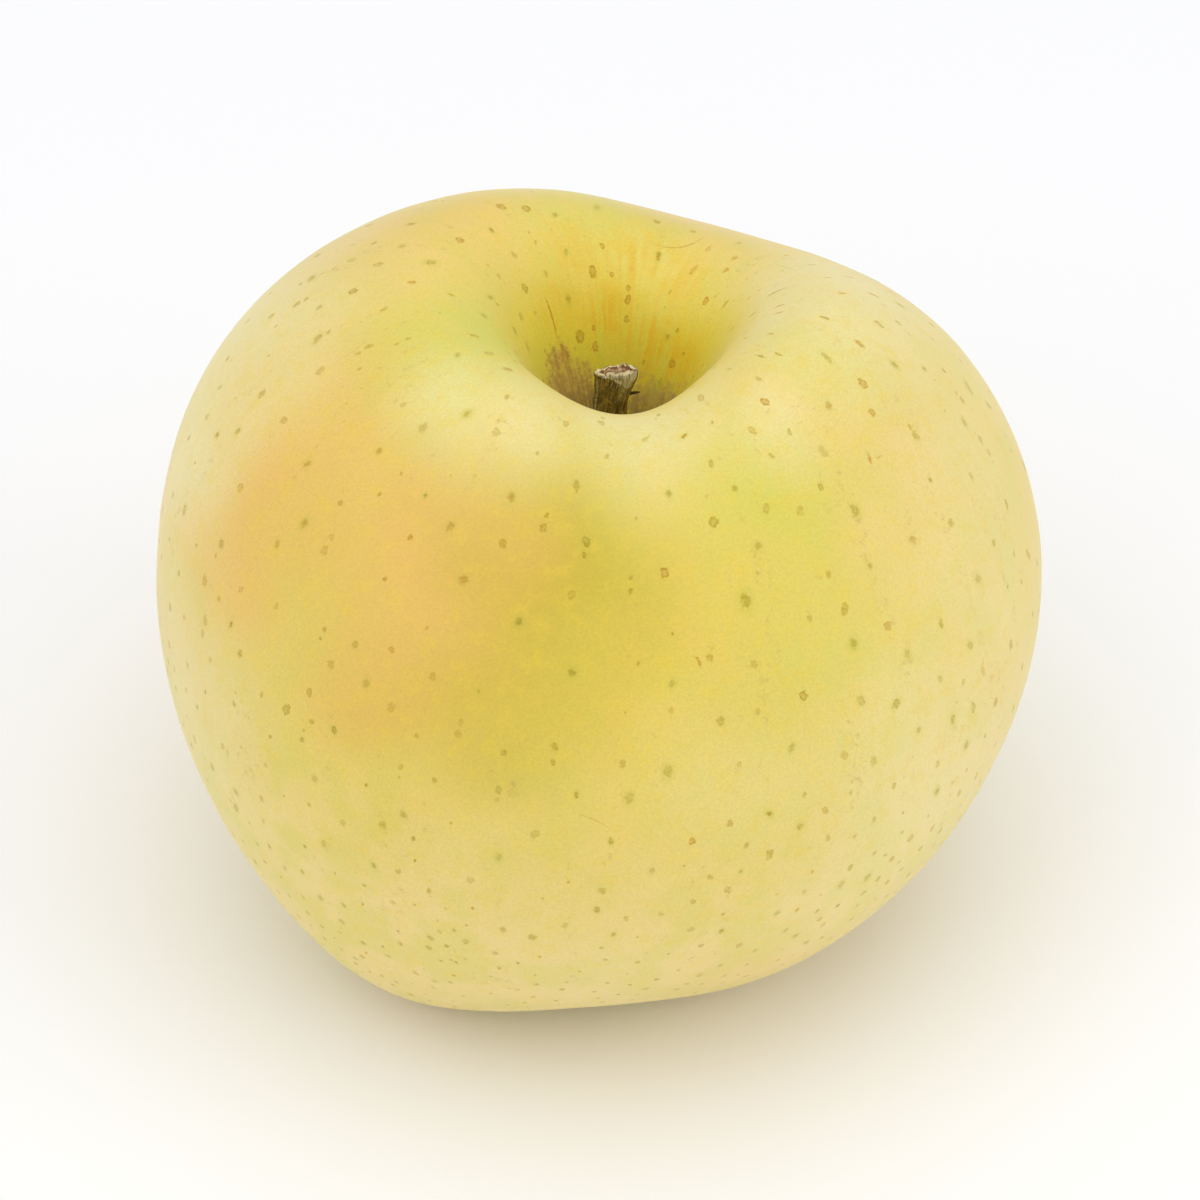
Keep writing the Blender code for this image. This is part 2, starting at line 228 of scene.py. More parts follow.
# Where each tint lies on the skin: (direction, level, reach in mm, strength)
skinTints = {
    "drift": 5.0,
    "driftLength": 9.0,
    "driftSeed": 3,  # without one, the drift differs from run to run
    "mottleSize": 5.5,
    "mottleOctaves": 4,
    "mottleRange": (-0.4, 0.6),
    "brushing": (9.0, 9.0, 3.0),  # waves across the growth twice, and along it
    "brushedShare": 0.6,
    "fullDriftReach": 12.0,  # smaller patches stay closer to their places
    "patches": {
        "gold": (
            (-83, 0.56, 17, 0.42), (-88, 0.38, 18, 0.3), (-118, 0.48, 15, 0.35), (60, 0.20, 20, 0.5),
            (150, -0.10, 20, 0.4), (10, 0.10, 18, 0.25),
        ),
        "olive": (
            (-107, 0.73, 14, 1.0), (-108, 0.59, 13, 0.75), (-90, 0.80, 8, 0.15), (-72, 0.50, 10, 0.1),
            (-104, 0.28, 14, 0.1), (110, 0.3, 18, 0.4),
        ),
        "green": (
            (-60, 0.79, 9, 0.55), (-58, 0.62, 9, 0.35), (-146, 0.915, 8, 0.7), (-156, 0.965, 7, 0.85),
            (-138, 0.88, 7, 0.3), (93, 0.90, 9, 0.35), (-27, 0.88, 8, 0.4), (-64, 0.38, 13, 0.2),
            (-134, 0.57, 9, 0.25), (-143, 0.22, 12, 0.25), (-90, 0.92, 8, 0.35), (30, -0.3, 16, 0.5),
            (-170, -0.2, 15, 0.4),
        ),
        "peach": (
            (-150, 0.66, 16, 0.75), (-127, 0.64, 14, 0.9), (-121, 0.54, 11, 0.6), (153, 0.86, 12, 0.45),
            (-35, 0.74, 12, 0.35), (-61, -0.56, 12, 0.2), (-149, 0.32, 12, 0.35), (75, 0.55, 18, 0.6),
            (-178, 0.1, 17, 0.4), (35, 0.35, 16, 0.4),
        ),
        # pale patches: paler skin in part, but mostly painted highlight on the pit's near lip and the
        # shoulders, and painted sheen near the fruit's edges as seen from the front
        "paleAndPaintedHighlight": (
            (-88, 0.935, 8.5, 0.65), (10, 0.955, 6, 0.4), (-35, 0.925, 7, 0.4), (-4, 0.87, 15, 0.65),
            (172, 0.68, 15, 0.6), (-174, 0.52, 12, 0.75), (-46, 0.08, 17, 0.5), (-28, 0.40, 13, 0.4),
            (-24, 0.66, 11, 0.45), (-88, -0.14, 18, 0.2), (-157, 0.12, 12, 0.5), (-119, 0.91, 7, 0.55),
            (-136, 0.885, 6, 0.5), (-51, 0.87, 6, 0.5), (-172, 0.66, 10, 0.5), (-128, 0.87, 6, 0.4),
            (-68, 0.24, 12, 0.25),
        ),
        "amber": (
            (97, 0.977, 3.6, 0.8), (75, 0.979, 3.4, 0.8), (62, 0.981, 3.6, 0.85), (83, 0.953, 4.2, 0.6),
            (69, 0.957, 4, 0.5), (126, 0.977, 3.4, 0.5), (45, 0.982, 3.4, 0.7), (110, 0.962, 4, 0.4),
        ),
        "scurf": (
            (60, 0.9895, 2.6, 0.8), (42, 0.990, 2.6, 0.8), (20, 0.990, 2.6, 0.6),
        ),
        "russet": (
            (141, 0.987, 2.4, 0.75), (134, 0.9905, 2.8, 1.0), (150, 0.991, 3.2, 1.0),
            (124, 0.9935, 2.8, 1.0),
        ),
    },
}

# Streaks down the pit: how fine they are across, how long, and how sharp
pitStreaks = {"broadStreaks": (17.0, 0.4, 0.17), "fineStreaks": (30.0, 0.2, 0.16)}

# Small marks of growth and handling: both ends as (direction, level), half width, bow and how strong
skinStrokes = (
    ((79.2, 0.933), (66.5, 0.887), 0.09, -1.2, 0.7),
    ((-93.8, 0.286), (-89.2, 0.243), 0.08, 0.2, 0.35),
    ((-38.2, 0.764), (-38.8, 0.744), 0.17, 0.0, 0.8),
    ((-39.0, 0.746), (-35.6, 0.746), 0.13, 0.1, 0.6),
    ((-78.4, 0.603), (-77.3, 0.574), 0.17, 0.25, 0.8),
    ((135.8, 0.976), (135.9, 0.984), 0.13, 0.15, 0.9),
    ((135.9, 0.983), (130.5, 0.988), 0.24, 0.1, 1.0),
    ((36.0, 0.915), (24.0, 0.917), 0.08, 0.1, 0.45),
)

# Lenticels, the small corky spots of the skin, in millimetres
lenticels = {
    "seed": 11,
    "tries": 30000,
    "spacing": (
        (-1.0, 3.1), (-0.6, 3.5), (-0.1, 4.4), (0.35, 6.8), (0.7, 8.8), (1.0, 5.4),
    ),  # level: distance
    "size": (
        (-1.0, 0.20), (-0.3, 0.26), (0.3, 0.33), (0.8, 0.32), (0.93, 0.28), (1.0, 0.24),
    ),  # level: radius
    "shares": (0.42, 0.34),  # of rings and of soft smudges, and the rest are points
    "kinds": {  # how ringed, how dark, and how much of a green halo
        "ring": (1.0, 1.0, 0.0),
        "smudge": (0.3, 0.75, 0.4),
        "green": (0.1, 0.8, 1.0),
        "point": (0.0, 0.9, 0.0),
        "dash": (0.2, 1.0, 0.0),
    },
    # ranges that the random spots are drawn from
    "spacingRange": (0.5, 1.15),
    "sizeRange": (0.65, 1.2),
    "smudgeRinged": (0.0, 0.4),
    "smudgeDark": (0.5, 0.95),
    "ringRinged": (0.6, 1.0),
    "ringDark": (0.6, 1.0),
    "pointDark": (0.55, 1.0),
    "pointShrink": (0.45, 0.75),
    "haloed": 0.45,  # share of spots with a halo
    "haloRange": (0.2, 1.0),
    "warmthRange": (0.0, 0.8),
    "twist": 0.3,
    # near the crown's edge the spots are drawn out along the growth, most of all on the right
    "drawnBand": (0.93, 0.09),  # level and reach
    "drawnTurn": 10,
    "companions": 0.16,
    "reach": 3.2,  # radii that a halo goes out
    "strokeReach": 1.4,  # how near, as one over millimetres, a face lies to a stroke to carry it
}

# The spots that catch the eye: (direction, level, radius in mm, how oval, kind, how brown)
placedSpots = (
    (104, 0.966, 0.34, 1.8, "ring", 0.4), (95, 0.965, 0.20, 1.3, "ring", 0.3),
    (87, 0.968, 0.20, 1.3, "ring", 0.3), (87, 0.972, 0.28, 1.7, "ring", 0.4),
    (87, 0.977, 0.23, 1.5, "ring", 0.3), (117, 0.983, 0.38, 1.6, "ring", 0.5),
    (107, 0.981, 0.20, 1.1, "ring", 0.5), (107, 0.984, 0.30, 1.6, "ring", 0.5),
    (61, 0.978, 0.22, 1.5, "smudge", 0.4), (56, 0.976, 0.20, 1.5, "point", 0.2),
    (52, 0.983, 0.30, 1.2, "ring", 0.5), (46, 0.981, 0.17, 1.4, "point", 0.4),
    (128, 0.914, 0.42, 1.1, "ring", 0.6), (121, 0.921, 0.40, 1.1, "ring", 0.5),
    (155, 0.934, 0.36, 1.1, "ring", 0.6), (179, 0.853, 0.38, 1.1, "ring", 0.5),
    (147, 0.973, 0.36, 1.2, "ring", 0.3), (98, 0.95, 0.24, 1.2, "ring", 0.5),
    (80, 0.893, 0.32, 1.1, "ring", 0.3), (-69, 0.667, 0.44, 1.5, "green", 0.3),
    (-115, 0.703, 0.44, 1.0, "smudge", 1.0), (-82, 0.740, 0.38, 1.1, "ring", 0.9),
    (-112, 0.819, 0.36, 1.4, "smudge", 0.8), (-72, 0.790, 0.40, 1.1, "ring", 0.2),
    (-54, 0.519, 0.36, 1.2, "green", 0.0), (-63, 0.465, 0.36, 1.1, "ring", 0.4),
    (-75, 0.465, 0.34, 1.3, "smudge", 0.5), (-105, 0.664, 0.34, 1.1, "green", 0.0),
    (-29, 0.827, 0.36, 1.5, "ring", 0.9), (-40, 0.837, 0.30, 1.5, "smudge", 0.8),
    (-65, 0.737, 0.32, 1.1, "smudge", 0.2), (-149, 0.722, 0.36, 1.0, "smudge", 0.3),
    (-38, 0.615, 0.38, 1.1, "smudge", 0.9), (-145, 0.605, 0.30, 1.2, "smudge", 0.4),
    (-96, 0.590, 0.34, 1.0, "green", 0.2), (-79, 0.190, 0.28, 1.2, "ring", 0.8),
    (52, 0.919, 0.22, 1.6, "smudge", 1.0), (50, 0.938, 0.22, 1.5, "ring", 0.9),
    (48, 0.964, 0.28, 1.5, "ring", 1.0), (35, 0.965, 0.16, 3.8, "dash", 0.9),
    (11, 0.948, 0.18, 5.0, "dash", 0.8), (-6, 0.948, 0.13, 4.6, "dash", 0.8),
    (-13, 0.947, 0.12, 4.0, "dash", 0.7), (-30, 0.941, 0.15, 2.4, "dash", 0.7),
    (-42, 0.930, 0.12, 5.0, "dash", 0.6), (-39, 0.917, 0.12, 4.4, "dash", 0.6),
    (-17, 0.905, 0.19, 2.4, "dash", 0.5), (29, 0.889, 0.16, 3.4, "dash", 0.9),
    (-20, 0.858, 0.25, 2.4, "dash", 0.9), (7, 0.849, 0.20, 3.6, "dash", 1.0),
    (-1, 0.816, 0.17, 2.8, "dash", 0.8), (-52, 0.887, 0.32, 1.3, "ring", 1.0),
    (-32, 0.795, 0.30, 1.4, "ring", 0.8), (57, 0.880, 0.20, 1.8, "smudge", 0.8),
    (70, 0.887, 0.24, 1.4, "smudge", 0.9), (-17, 0.808, 0.28, 1.5, "green", 0.0),
    (-49, 0.912, 0.18, 1.9, "smudge", 0.6),
)


def byLevel(table, level):
    levels, values = zip(*table)
    return float(np.interp(level, levels, values))


def skinAxes(turn, level, shift):
    # a place on the skin, the way down the growth there and the way across it
    place = skinPlace(turn, level, shift)
    down = skinPlace(turn, level - 0.002, shift) - place
    alongDir = down / np.linalg.norm(down)
    aside = skinPlace(turn + 1, level, shift) - place
    acrossDir = aside - alongDir * np.dot(aside, alongDir)
    return place, alongDir, acrossDir / np.linalg.norm(acrossDir)


def placedSpot(turn, level, radius, oval, kind, warmth, shift):
    place, alongDir, acrossDir = skinAxes(turn, level, shift)
    return {
        "place": place,
        "axes": (alongDir / (radius * oval), acrossDir / radius),
        "bow": 0.0,
        "warmth": warmth,
        "look": lenticels["kinds"][kind],
        "alongDir": alongDir,
        "stroke": False,
    }


def scatterSpots(points, level, direction, shift):
    # the placed spots, then random ones that keep their distance, denser towards the calyx
    draw = np.random.default_rng(lenticels["seed"])
    nextAround = np.roll(points, -1, axis=1)
    corner, down, around = points[:-1], points[1:] - points[:-1], nextAround[:-1] - points[:-1]
    area = np.linalg.norm(np.cross(down, around), axis=-1)
    chance = np.cumsum(area.ravel())
    spots = [placedSpot(*spot, shift) for spot in placedSpots]
    places = np.array([spot["place"] for spot in spots])
    for _ in range(lenticels["tries"]):
        index = int(np.searchsorted(chance, draw.random() * chance[-1]))
        ring, step = divmod(index, points.shape[1])
        place = corner[ring, step] + down[ring, step] * draw.random() + around[ring, step] * draw.random()
        height, turn = level[ring, 0], direction[0, step]
        crowding = 0.8 + 0.45 * noise.noise(Vector(place / 9.0))
        gap = byLevel(lenticels["spacing"], height) * draw.uniform(*lenticels["spacingRange"]) * crowding
        if np.min(np.sum((places - place) ** 2, axis=1)) < gap**2:
            continue
        places = np.vstack([places, place])
        alongDir = down[ring, step] / np.linalg.norm(down[ring, step])
        acrossDir = around[ring, step] - alongDir * np.dot(around[ring, step], alongDir)
        acrossDir = acrossDir / np.linalg.norm(acrossDir)
        spot = makeSpot(draw, place, alongDir, acrossDir, height, turn)
        spots.append(spot)
        if draw.random() < lenticels["companions"] and height > 0.2:
            spots.append(companionSpot(draw, spot))
    return spots


def makeSpot(draw, place, alongDir, acrossDir, height, turn):
    # a random spot: a smudge unless its kind makes it a ring or a point
    form = lenticels
    size = byLevel(form["size"], height) * draw.uniform(*form["sizeRange"])
    rings, smudges = form["shares"]
    kind = draw.random()
    ringed, darkness = draw.uniform(*form["smudgeRinged"]), draw.uniform(*form["smudgeDark"])
    if kind < rings:
        ringed, darkness = draw.uniform(*form["ringRinged"]), draw.uniform(*form["ringDark"])
    if kind > rings + smudges:
        ringed, darkness = 0.0, draw.uniform(*form["pointDark"])
        size *= draw.uniform(*form["pointShrink"])
    toRight = (0.5 + 0.5 * math.cos(turn - math.radians(form["drawnTurn"]))) ** 3
    drawnOut = bell(height, *form["drawnBand"])
    size /= 1.0 + 0.7 * toRight * drawnOut
    oval = 1.0 + drawnOut * (0.6 + 2.4 * toRight) * draw.uniform(0.3, 1.0) + draw.uniform(0.0, 0.5)
    oval += 0.8 * toRight * draw.random()
    twist = draw.normal(0.0, form["twist"])
    axisA = alongDir * math.cos(twist) + acrossDir * math.sin(twist)
    axisB = acrossDir * math.cos(twist) - alongDir * math.sin(twist)
    warmth = draw.uniform(*form["warmthRange"])
    halo = draw.uniform(*form["haloRange"]) if draw.random() < form["haloed"] else 0.0
    return {
        "place": place,
        "axes": (axisA / (size * oval), axisB / size),
        "bow": 0.0,
        "warmth": warmth,
        "look": (ringed, darkness, halo),
        "alongDir": alongDir,
        "stroke": False,
    }


def companionSpot(draw, spot):
    # a smaller spot just up or down the growth from another
    away = draw.uniform(0.8, 1.5) * (1 if draw.random() < 0.5 else -1)
    shrink = draw.uniform(1.2, 1.8)
    other = dict(spot)
    other["place"] = spot["place"] + spot["alongDir"] * away
    other["axes"] = tuple(axis * shrink for axis in spot["axes"])
    other["look"] = (spot["look"][0], spot["look"][1], 0.0)
    return other


def strokeSpot(ends, halfWidth, bow, strength, shift):
    # a thin mark between two places of the skin, as a very long spot
    start, finish = (skinPlace(turn, level, shift) for turn, level in ends)
    _, down, aside = skinAxes((ends[0][0] + ends[1][0]) / 2, (ends[0][1] + ends[1][1]) / 2, shift)
    alongDir = finish - start
    half = np.linalg.norm(alongDir) / 2
    alongDir = alongDir / np.linalg.norm(alongDir)
    acrossDir = np.cross(np.cross(down, aside), alongDir)
    return {
        "place": (start + finish) / 2 + acrossDir * bow,
        "axes": (alongDir / half, acrossDir / halfWidth),
        "bow": bow / halfWidth,
        "warmth": 1.0,
        "look": (0.0, strength, 0.0),
        "alongDir": alongDir,
        "stroke": True,
    }


def faceSpot(middle, spots, found):
    # the spot whose own radii count a face's middle as nearest, with some reach for thin ones
    best, bestDistance = None, lenticels["reach"] + 1.5
    for _, index, _ in found:
        spot = spots[index]
        away = middle - spot["place"]
        u, v = away @ spot["axes"][0], away @ spot["axes"][1]
        if spot["stroke"]:
            v += spot["bow"] * u * u
            inside = abs(u) < 1.3 and abs(v) * lenticels["strokeReach"] < np.linalg.norm(spot["axes"][1])
            counted = 0.0 if inside else 99.0
        else:
            counted = math.hypot(u, v)
        if counted < bestDistance:
            best, bestDistance = spot, counted
    return best


def spotAttributes(mesh, faces, points, spots, strokes):
    # every face corner learns where it lies from the nearest spot, counted in that spot's own radii
    tree = KDTree(len(spots))
    for index, spot in enumerate(spots):
        tree.insert(spot["place"], index)
    tree.balance()
    farOffset, farLook = (9.0, 9.0, 0.0), (0.0, 0.0, 0.0)
    offsets, looks = [], []
    strokePlaces = np.array([stroke["place"] for stroke in strokes])
    for face in faces:
        corners = points[list(face)]
        middle = corners.mean(axis=0)
        found = [item for item in tree.find_n(middle, 3) if item[2] < 3.5]
        best = faceSpot(middle, spots, found) if found else None
        nearStrokes = np.linalg.norm(strokePlaces - middle, axis=1) < 4.0
        if nearStrokes.any():
            close = [(None, index, None) for index in np.flatnonzero(nearStrokes)]
            best = faceSpot(middle, strokes, close) or best
        if best is None:
            offsets.extend([farOffset] * len(face))
            looks.extend([farLook] * len(face))
            continue
        away = corners - best["place"]
        u, v = away @ best["axes"][0], away @ best["axes"][1]
        v = v + best["bow"] * u * u
        offsets.extend((a, b, best["warmth"]) for a, b in zip(u, v))
        looks.extend([best["look"]] * len(face))
    vectorAttribute(mesh, "spotOffset", "CORNER", offsets)
    vectorAttribute(mesh, "spotLook", "CORNER", looks)


def vectorAttribute(mesh, name, domain, values):
    layer = mesh.attributes.new(name, "FLOAT_VECTOR", domain)
    layer.data.foreach_set("vector", np.array(values, dtype=np.float32).ravel())


def tintMasks(points, growth, shift):
    # how strongly each tint lies on each point, with the patches' edges drawn out of round
    noise.seed_set(skinTints["driftSeed"])
    drift = np.array([noise.noise_vector(Vector(p / skinTints["driftLength"])) for p in points])
    drift = drift * skinTints["drift"]
    masks = {"mottle": mottleMask(points, growth)}
    for tint, patches in skinTints["patches"].items():
        mask = np.zeros(len(points))
        for turn, level, reach, strength in patches:
            drifting = min(1.0, reach / skinTints["fullDriftReach"]) ** 2
            away = points + drift * drifting - skinPlace(turn, level, shift)
            share = np.clip(1.0 - np.linalg.norm(away, axis=1) / (reach * 1.5), 0.0, 1.0)
            mask = np.maximum(mask, strength * share**2 * (3.0 - 2.0 * share))
        masks[tint] = mask
    return masks


def mottleMask(points, growth):
    # the slow change between the warmer and the greener ground, partly in brushed streaks along the growth
    size, octaves = skinTints["mottleSize"], skinTints["mottleOctaves"]
    waves = np.array([noise.fractal(Vector(p / size), 0.75, 2.0, octaves) for p in points])
    brushed = growth * np.array(skinTints["brushing"])
    strokes = np.array([noise.fractal(Vector(p), 0.75, 2.0, 3) for p in brushed])
    waves = waves + skinTints["brushedShare"] * strokes
    low, high = skinTints["mottleRange"]
    share = np.clip((waves - low) / (high - low), 0.0, 1.0)
    return share**2 * (3.0 - 2.0 * share)


def streakMask(growth, fineness, length, contrast):
    # streaks that run with the growth, narrow across it and long along it
    stretched = growth * np.array([fineness, fineness, 1.0 / length])
    waves = np.array([noise.fractal(Vector(p), 0.7, 2.0, 3) for p in stretched])
    share = np.clip(0.5 + waves / (8.0 * contrast), 0.0, 1.0)
    return share**2 * (3.0 - 2.0 * share)


def floatAttribute(mesh, name, values):
    layer = mesh.attributes.new(name, "FLOAT", "POINT")
    layer.data.foreach_set("value", np.array(values, dtype=np.float32))


def buildFruit(material):
    points, level, direction, shift = skinGrid()
    points = addUnevenness(points)
    rings, steps = level.shape
    stretches = np.linalg.norm(np.diff(points, axis=0), axis=-1)
    along = np.vstack([np.zeros((1, steps)), np.cumsum(stretches, axis=0)]) / fruitForm["growthUnit"]
    growth = np.stack([np.cos(direction), np.sin(direction), along], axis=-1)

    # the first and last ring are the poles, so each becomes one vertex
    inner = points[1:-1].reshape(-1, 3)
    top, bottom = points[0].mean(axis=0), points[-1].mean(axis=0)
    flat = np.vstack([inner, top, bottom])
    flatGrowth = np.vstack([growth[1:-1].reshape(-1, 3), (0.0, 0.0, 0.0), (0.0, 0.0, along[-1].mean())])
    faces = tubeFaces(rings - 2, steps)
    topIndex, bottomIndex, lastRing = len(inner), len(inner) + 1, (rings - 3) * steps
    for step in range(steps):
        after = (step + 1) % steps
        faces.append((topIndex, step, after))
        faces.append((bottomIndex, lastRing + after, lastRing + step))
    mesh = newMesh("apple_skin", flat * mm, faces)
    vectorAttribute(mesh, "growth", "POINT", flatGrowth)
    for tint, mask in tintMasks(flat, flatGrowth, shift).items():
        floatAttribute(mesh, tint, mask)
    for name, (fineness, length, contrast) in pitStreaks.items():
        floatAttribute(mesh, name, streakMask(flatGrowth, fineness, length, contrast))
    spots = scatterSpots(points, level, direction, shift)
    strokes = [strokeSpot(stroke[:2], *stroke[2:], shift) for stroke in skinStrokes]
    spotAttributes(mesh, faces, flat, spots, strokes)
    print("fruit: faces", len(faces), "lenticels", len(spots))
    newPiece("apple_skin", mesh, material, "fruit")
    return skinPlace(0, 1, shift)


def skinPlace(turn, level, shift):
    # a place on the skin in millimetres, from its direction in degrees and its level
    return skinPoints(np.array([math.radians(turn)]), np.array([level]))[0] + shift


# The stem's stub in millimetres, standing in the pit; its cut end slopes away from the side shown
stemForm = {
    "length": 14.7,
    "baseRadius": 1.75,
    "neckRadius": 1.45,
    "topRadius": 1.9,
    "flare": 3.0,
    "leanX": -0.7,
    "leanY": 0.1,
    "endShift": 0.65,
    "endStart": 0.75,  # where the shift and the slope start, as a share of the length
    "endFull": 0.95,
    "cutSlope": 0.45,
    "flareToRight": 0.16,
    "cutUneven": 0.22,
    "cutSink": 0.35,
    "cutStep": 0.38,  # how much lower the cut's left part is
    "cutStepX": -0.75,
    "rings": 90,
    "cutRings": 14,
    "steps": 96,
    "surfaceNoise": ((3.2, 0.22, 0.14), (9.0, 0.9, 0.06)),  # waves across, waves along, size
    "cutRoughness": 0.28,
    "growthUnit": 10.0,  # millimetres of height for one unit of growth
    # the wedge of torn bark: its middle, half width in radians, drop, and how far its tip leans
    "wedgeTurn": -72,
    "wedgeReach": 1.0,
    "wedgeDrop": 1.6,
    "wedgeLean": 30,
    "wedgeRaggedness": 0.16,
    "wedgeEdge": 0.12,
    "speckledTurn": -57,
    "speckledReach": 2.6,
    "tornMask": 0.68,  # values of the mask that tell bark, torn bark and cut wood apart
    "speckledMask": 0.37,
    "stripMask": 0.66,
    "fibreMask": 0.6,
    "splinterMask": -0.5,
    "stripTurn": -152,
    "stripFrom": 30,
    "stripWidth": 0.12,
    "splinterRoot": (0.85, -0.25, -2.62),
    "splinterStep": (0.2, -0.02, 0.07, -0.002),  # right, forwards, up, and how it bends down
    "splinterWidths": (0.34, 0.33, 0.30, 0.27, 0.23, 0.21, 0.17, 0.06),
    "fibres": 46,
    "fibreTurns": (-125, -10),
    "fibreDrop": (0.3, 1.2),
    "fibreWidth": (0.035, 0.075),
    "seed": 5,
}


def newShape(points, faces, growth, cut):
    # a mesh in the making: points, faces, places along the growth, and the mask of cut wood
    return {"points": points, "faces": faces, "growth": growth, "cut": cut}


def addToShape(shape, points, faces, growth, cut):
    start = len(shape["points"])
    shape["faces"] += [tuple(start + index for index in face) for face in faces]
    for part, values in (("points", points), ("growth", growth), ("cut", cut)):
        shape[part] = np.concatenate([shape[part], values])


def addStrand(shape, path, widths, mask):
    # a thin four-sided strand along a path of points
    rows = []
    for index, (place, width) in enumerate(zip(path, widths)):
        ahead = path[min(index + 1, len(path) - 1)] - path[max(index - 1, 0)]
        side = ahead.cross(Vector((0, 0, 1)))
        side = side.normalized() if side.length > 1e-6 else Vector((1, 0, 0))
        up = side.cross(ahead).normalized()
        for a, b in ((1, 0), (0, 1), (-1, 0), (0, -1)):
            rows.append(place + side * a * width + up * b * width * 0.6)
    faces = tubeFaces(len(path), 4) + [(3, 2, 1, 0), tuple(range(len(rows) - 4, len(rows)))]
    growth = np.array([(0.3, 0.3, index / 12) for index in range(len(rows))])
    addToShape(shape, np.array(rows), faces, growth, np.full(len(rows), mask))


def shapePiece(name, shape, material, node):
    mesh = newMesh(name, shape["points"] * mm, shape["faces"])
    vectorAttribute(mesh, "growth", "POINT", shape["growth"])
    floatAttribute(mesh, "cutFace", shape["cut"])
    print(f"{node}: faces", len(shape["faces"]))
    newPiece(name, mesh, material, node)


def buildStem(material, pitFloor):
    form = stemForm
    foot = Vector((pitFloor[0], pitFloor[1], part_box("stem")[0].z / mm))
    length, neck = form["length"], form["neckRadius"]
    heights = np.linspace(0.0, length, form["rings"])
    turns = np.linspace(-math.pi, math.pi, form["steps"], endpoint=False)
    stripTurn = np.array([math.radians(form["stripTurn"])])
    widths = neck + (form["topRadius"] - neck) * np.exp(-(((length - heights) / form["flare"]) ** 2) * 2.2)
    widths += (form["baseRadius"] - neck) * bell(heights, 0.0, 3.0)
    rows, growth, cut, strip = [], [], [], []

    def growthRing(along):
        return np.stack([np.cos(turns), np.sin(turns), np.full(len(turns), along)], axis=1)

    for height, width in zip(heights, widths):
        rows.append(stemRing(foot, height, width, turns))
        growth.append(growthRing(height / form["growthUnit"]))
        cut.append(tornMask(height, turns))
        strip.append(Vector(stemRing(foot, height, width, stripTurn)[0]))
    for inward in np.linspace(0.03, 0.97, form["cutRings"]):
        rows.append(stemRing(foot, length, widths[-1] * (1.0 - inward), turns, inward))
        growth.append(growthRing(2.0 + inward))
        cut.append(np.ones(len(turns)))
    faces = [tuple(reversed(face)) for face in tubeFaces(len(rows), form["steps"])]
    last = (len(rows) - 1) * form["steps"]
    faces.append(tuple(last + step for step in range(form["steps"])))
    faces.append(tuple(reversed(range(form["steps"]))))
    shape = newShape(np.vstack(rows), faces, np.vstack(growth), np.concatenate(cut))
    addSplinterAndFibres(shape, foot)
    # a thin pale strand down the left side of the stem
    strip = strip[form["stripFrom"]::4]
    addStrand(shape, strip, [form["stripWidth"]] * len(strip), form["stripMask"])
    shapePiece("stem_stub", shape, material, "stem")


def tornMask(height, turns):
    # pale torn bark in a wedge below the cut's right front, and speckled bark below it
    form = stemForm
    below = (form["length"] - height) / form["wedgeDrop"]
    spread = form["wedgeReach"] * (1.0 - below)
    middle = math.radians(form["wedgeTurn"] + form["wedgeLean"] * min(below, 1.0))
    jagged = form["wedgeRaggedness"] * noiseAt([(t * 7.0, height * 2.5, 3.0) for t in turns])
    wedge = np.clip((spread - np.abs(turns - middle) + jagged) / form["wedgeEdge"] + 0.5, 0.0, 1.0)
    speckled = np.clip(form["speckledReach"] - below, 0.0, 1.0)
    speckled = speckled * bell(turns, math.radians(form["speckledTurn"]), 1.0)
    return np.maximum(form["tornMask"] * wedge, form["speckledMask"] * speckled)


def stemRing(foot, height, width, turns, inward=0.0):
    # one ring of the stem's side, or of its cut face where inward is above 0
    form = stemForm
    share = height / form["length"]
    cosine, sine = np.cos(turns), np.sin(turns)
    end = min(1.0, max(0.0, (share - form["endStart"]) / (form["endFull"] - form["endStart"])))
    (wide, slow, ridgeSize), (narrow, quick, fineSize) = form["surfaceNoise"]
    ridge = noiseAt([(math.cos(t) * wide, math.sin(t) * wide, height * slow) for t in turns])
    fine = noiseAt([(math.cos(t) * narrow, math.sin(t) * narrow, height * quick) for t in turns])
    radius = width + (ridge * ridgeSize + fine * fineSize) * (1.0 - inward)
    flaring = np.exp(-(((form["length"] - height) / form["flare"]) ** 2) * 1.6)
    toRight = np.clip(np.cos(turns + 0.2), 0.0, 1.0) * flaring
    radius = radius + form["flareToRight"] * toRight * (1.0 - inward)
    torn = np.sin(2 * turns + 0.8) * 0.5 + ridge * 0.9 + fine * 0.8
    lowerLeft = 0.5 - 0.5 * np.tanh((radius * cosine - form["cutStepX"]) / 0.12)
    rise = form["cutUneven"] * torn * (1.0 - 0.4 * inward) - form["cutStep"] * lowerLeft
    rise = rise * (share > 0.97) - form["cutSlope"] * end * radius * sine
    if inward:
        flat = radius * cosine * 2.2, radius * sine * 2.2, np.full(len(turns), 7.0)
        rough = noiseAt(np.stack(flat, axis=1))
        sinking = math.sin(math.pi * min(1.0, inward * 1.1) / 2)
        rise = rise + form["cutRoughness"] * rough - form["cutSink"] * sinking
    x = foot.x + form["leanX"] * share + form["endShift"] * end + radius * cosine
    y = foot.y + form["leanY"] * share + radius * sine
    return np.stack([x, y, foot.z + height + rise], axis=1)


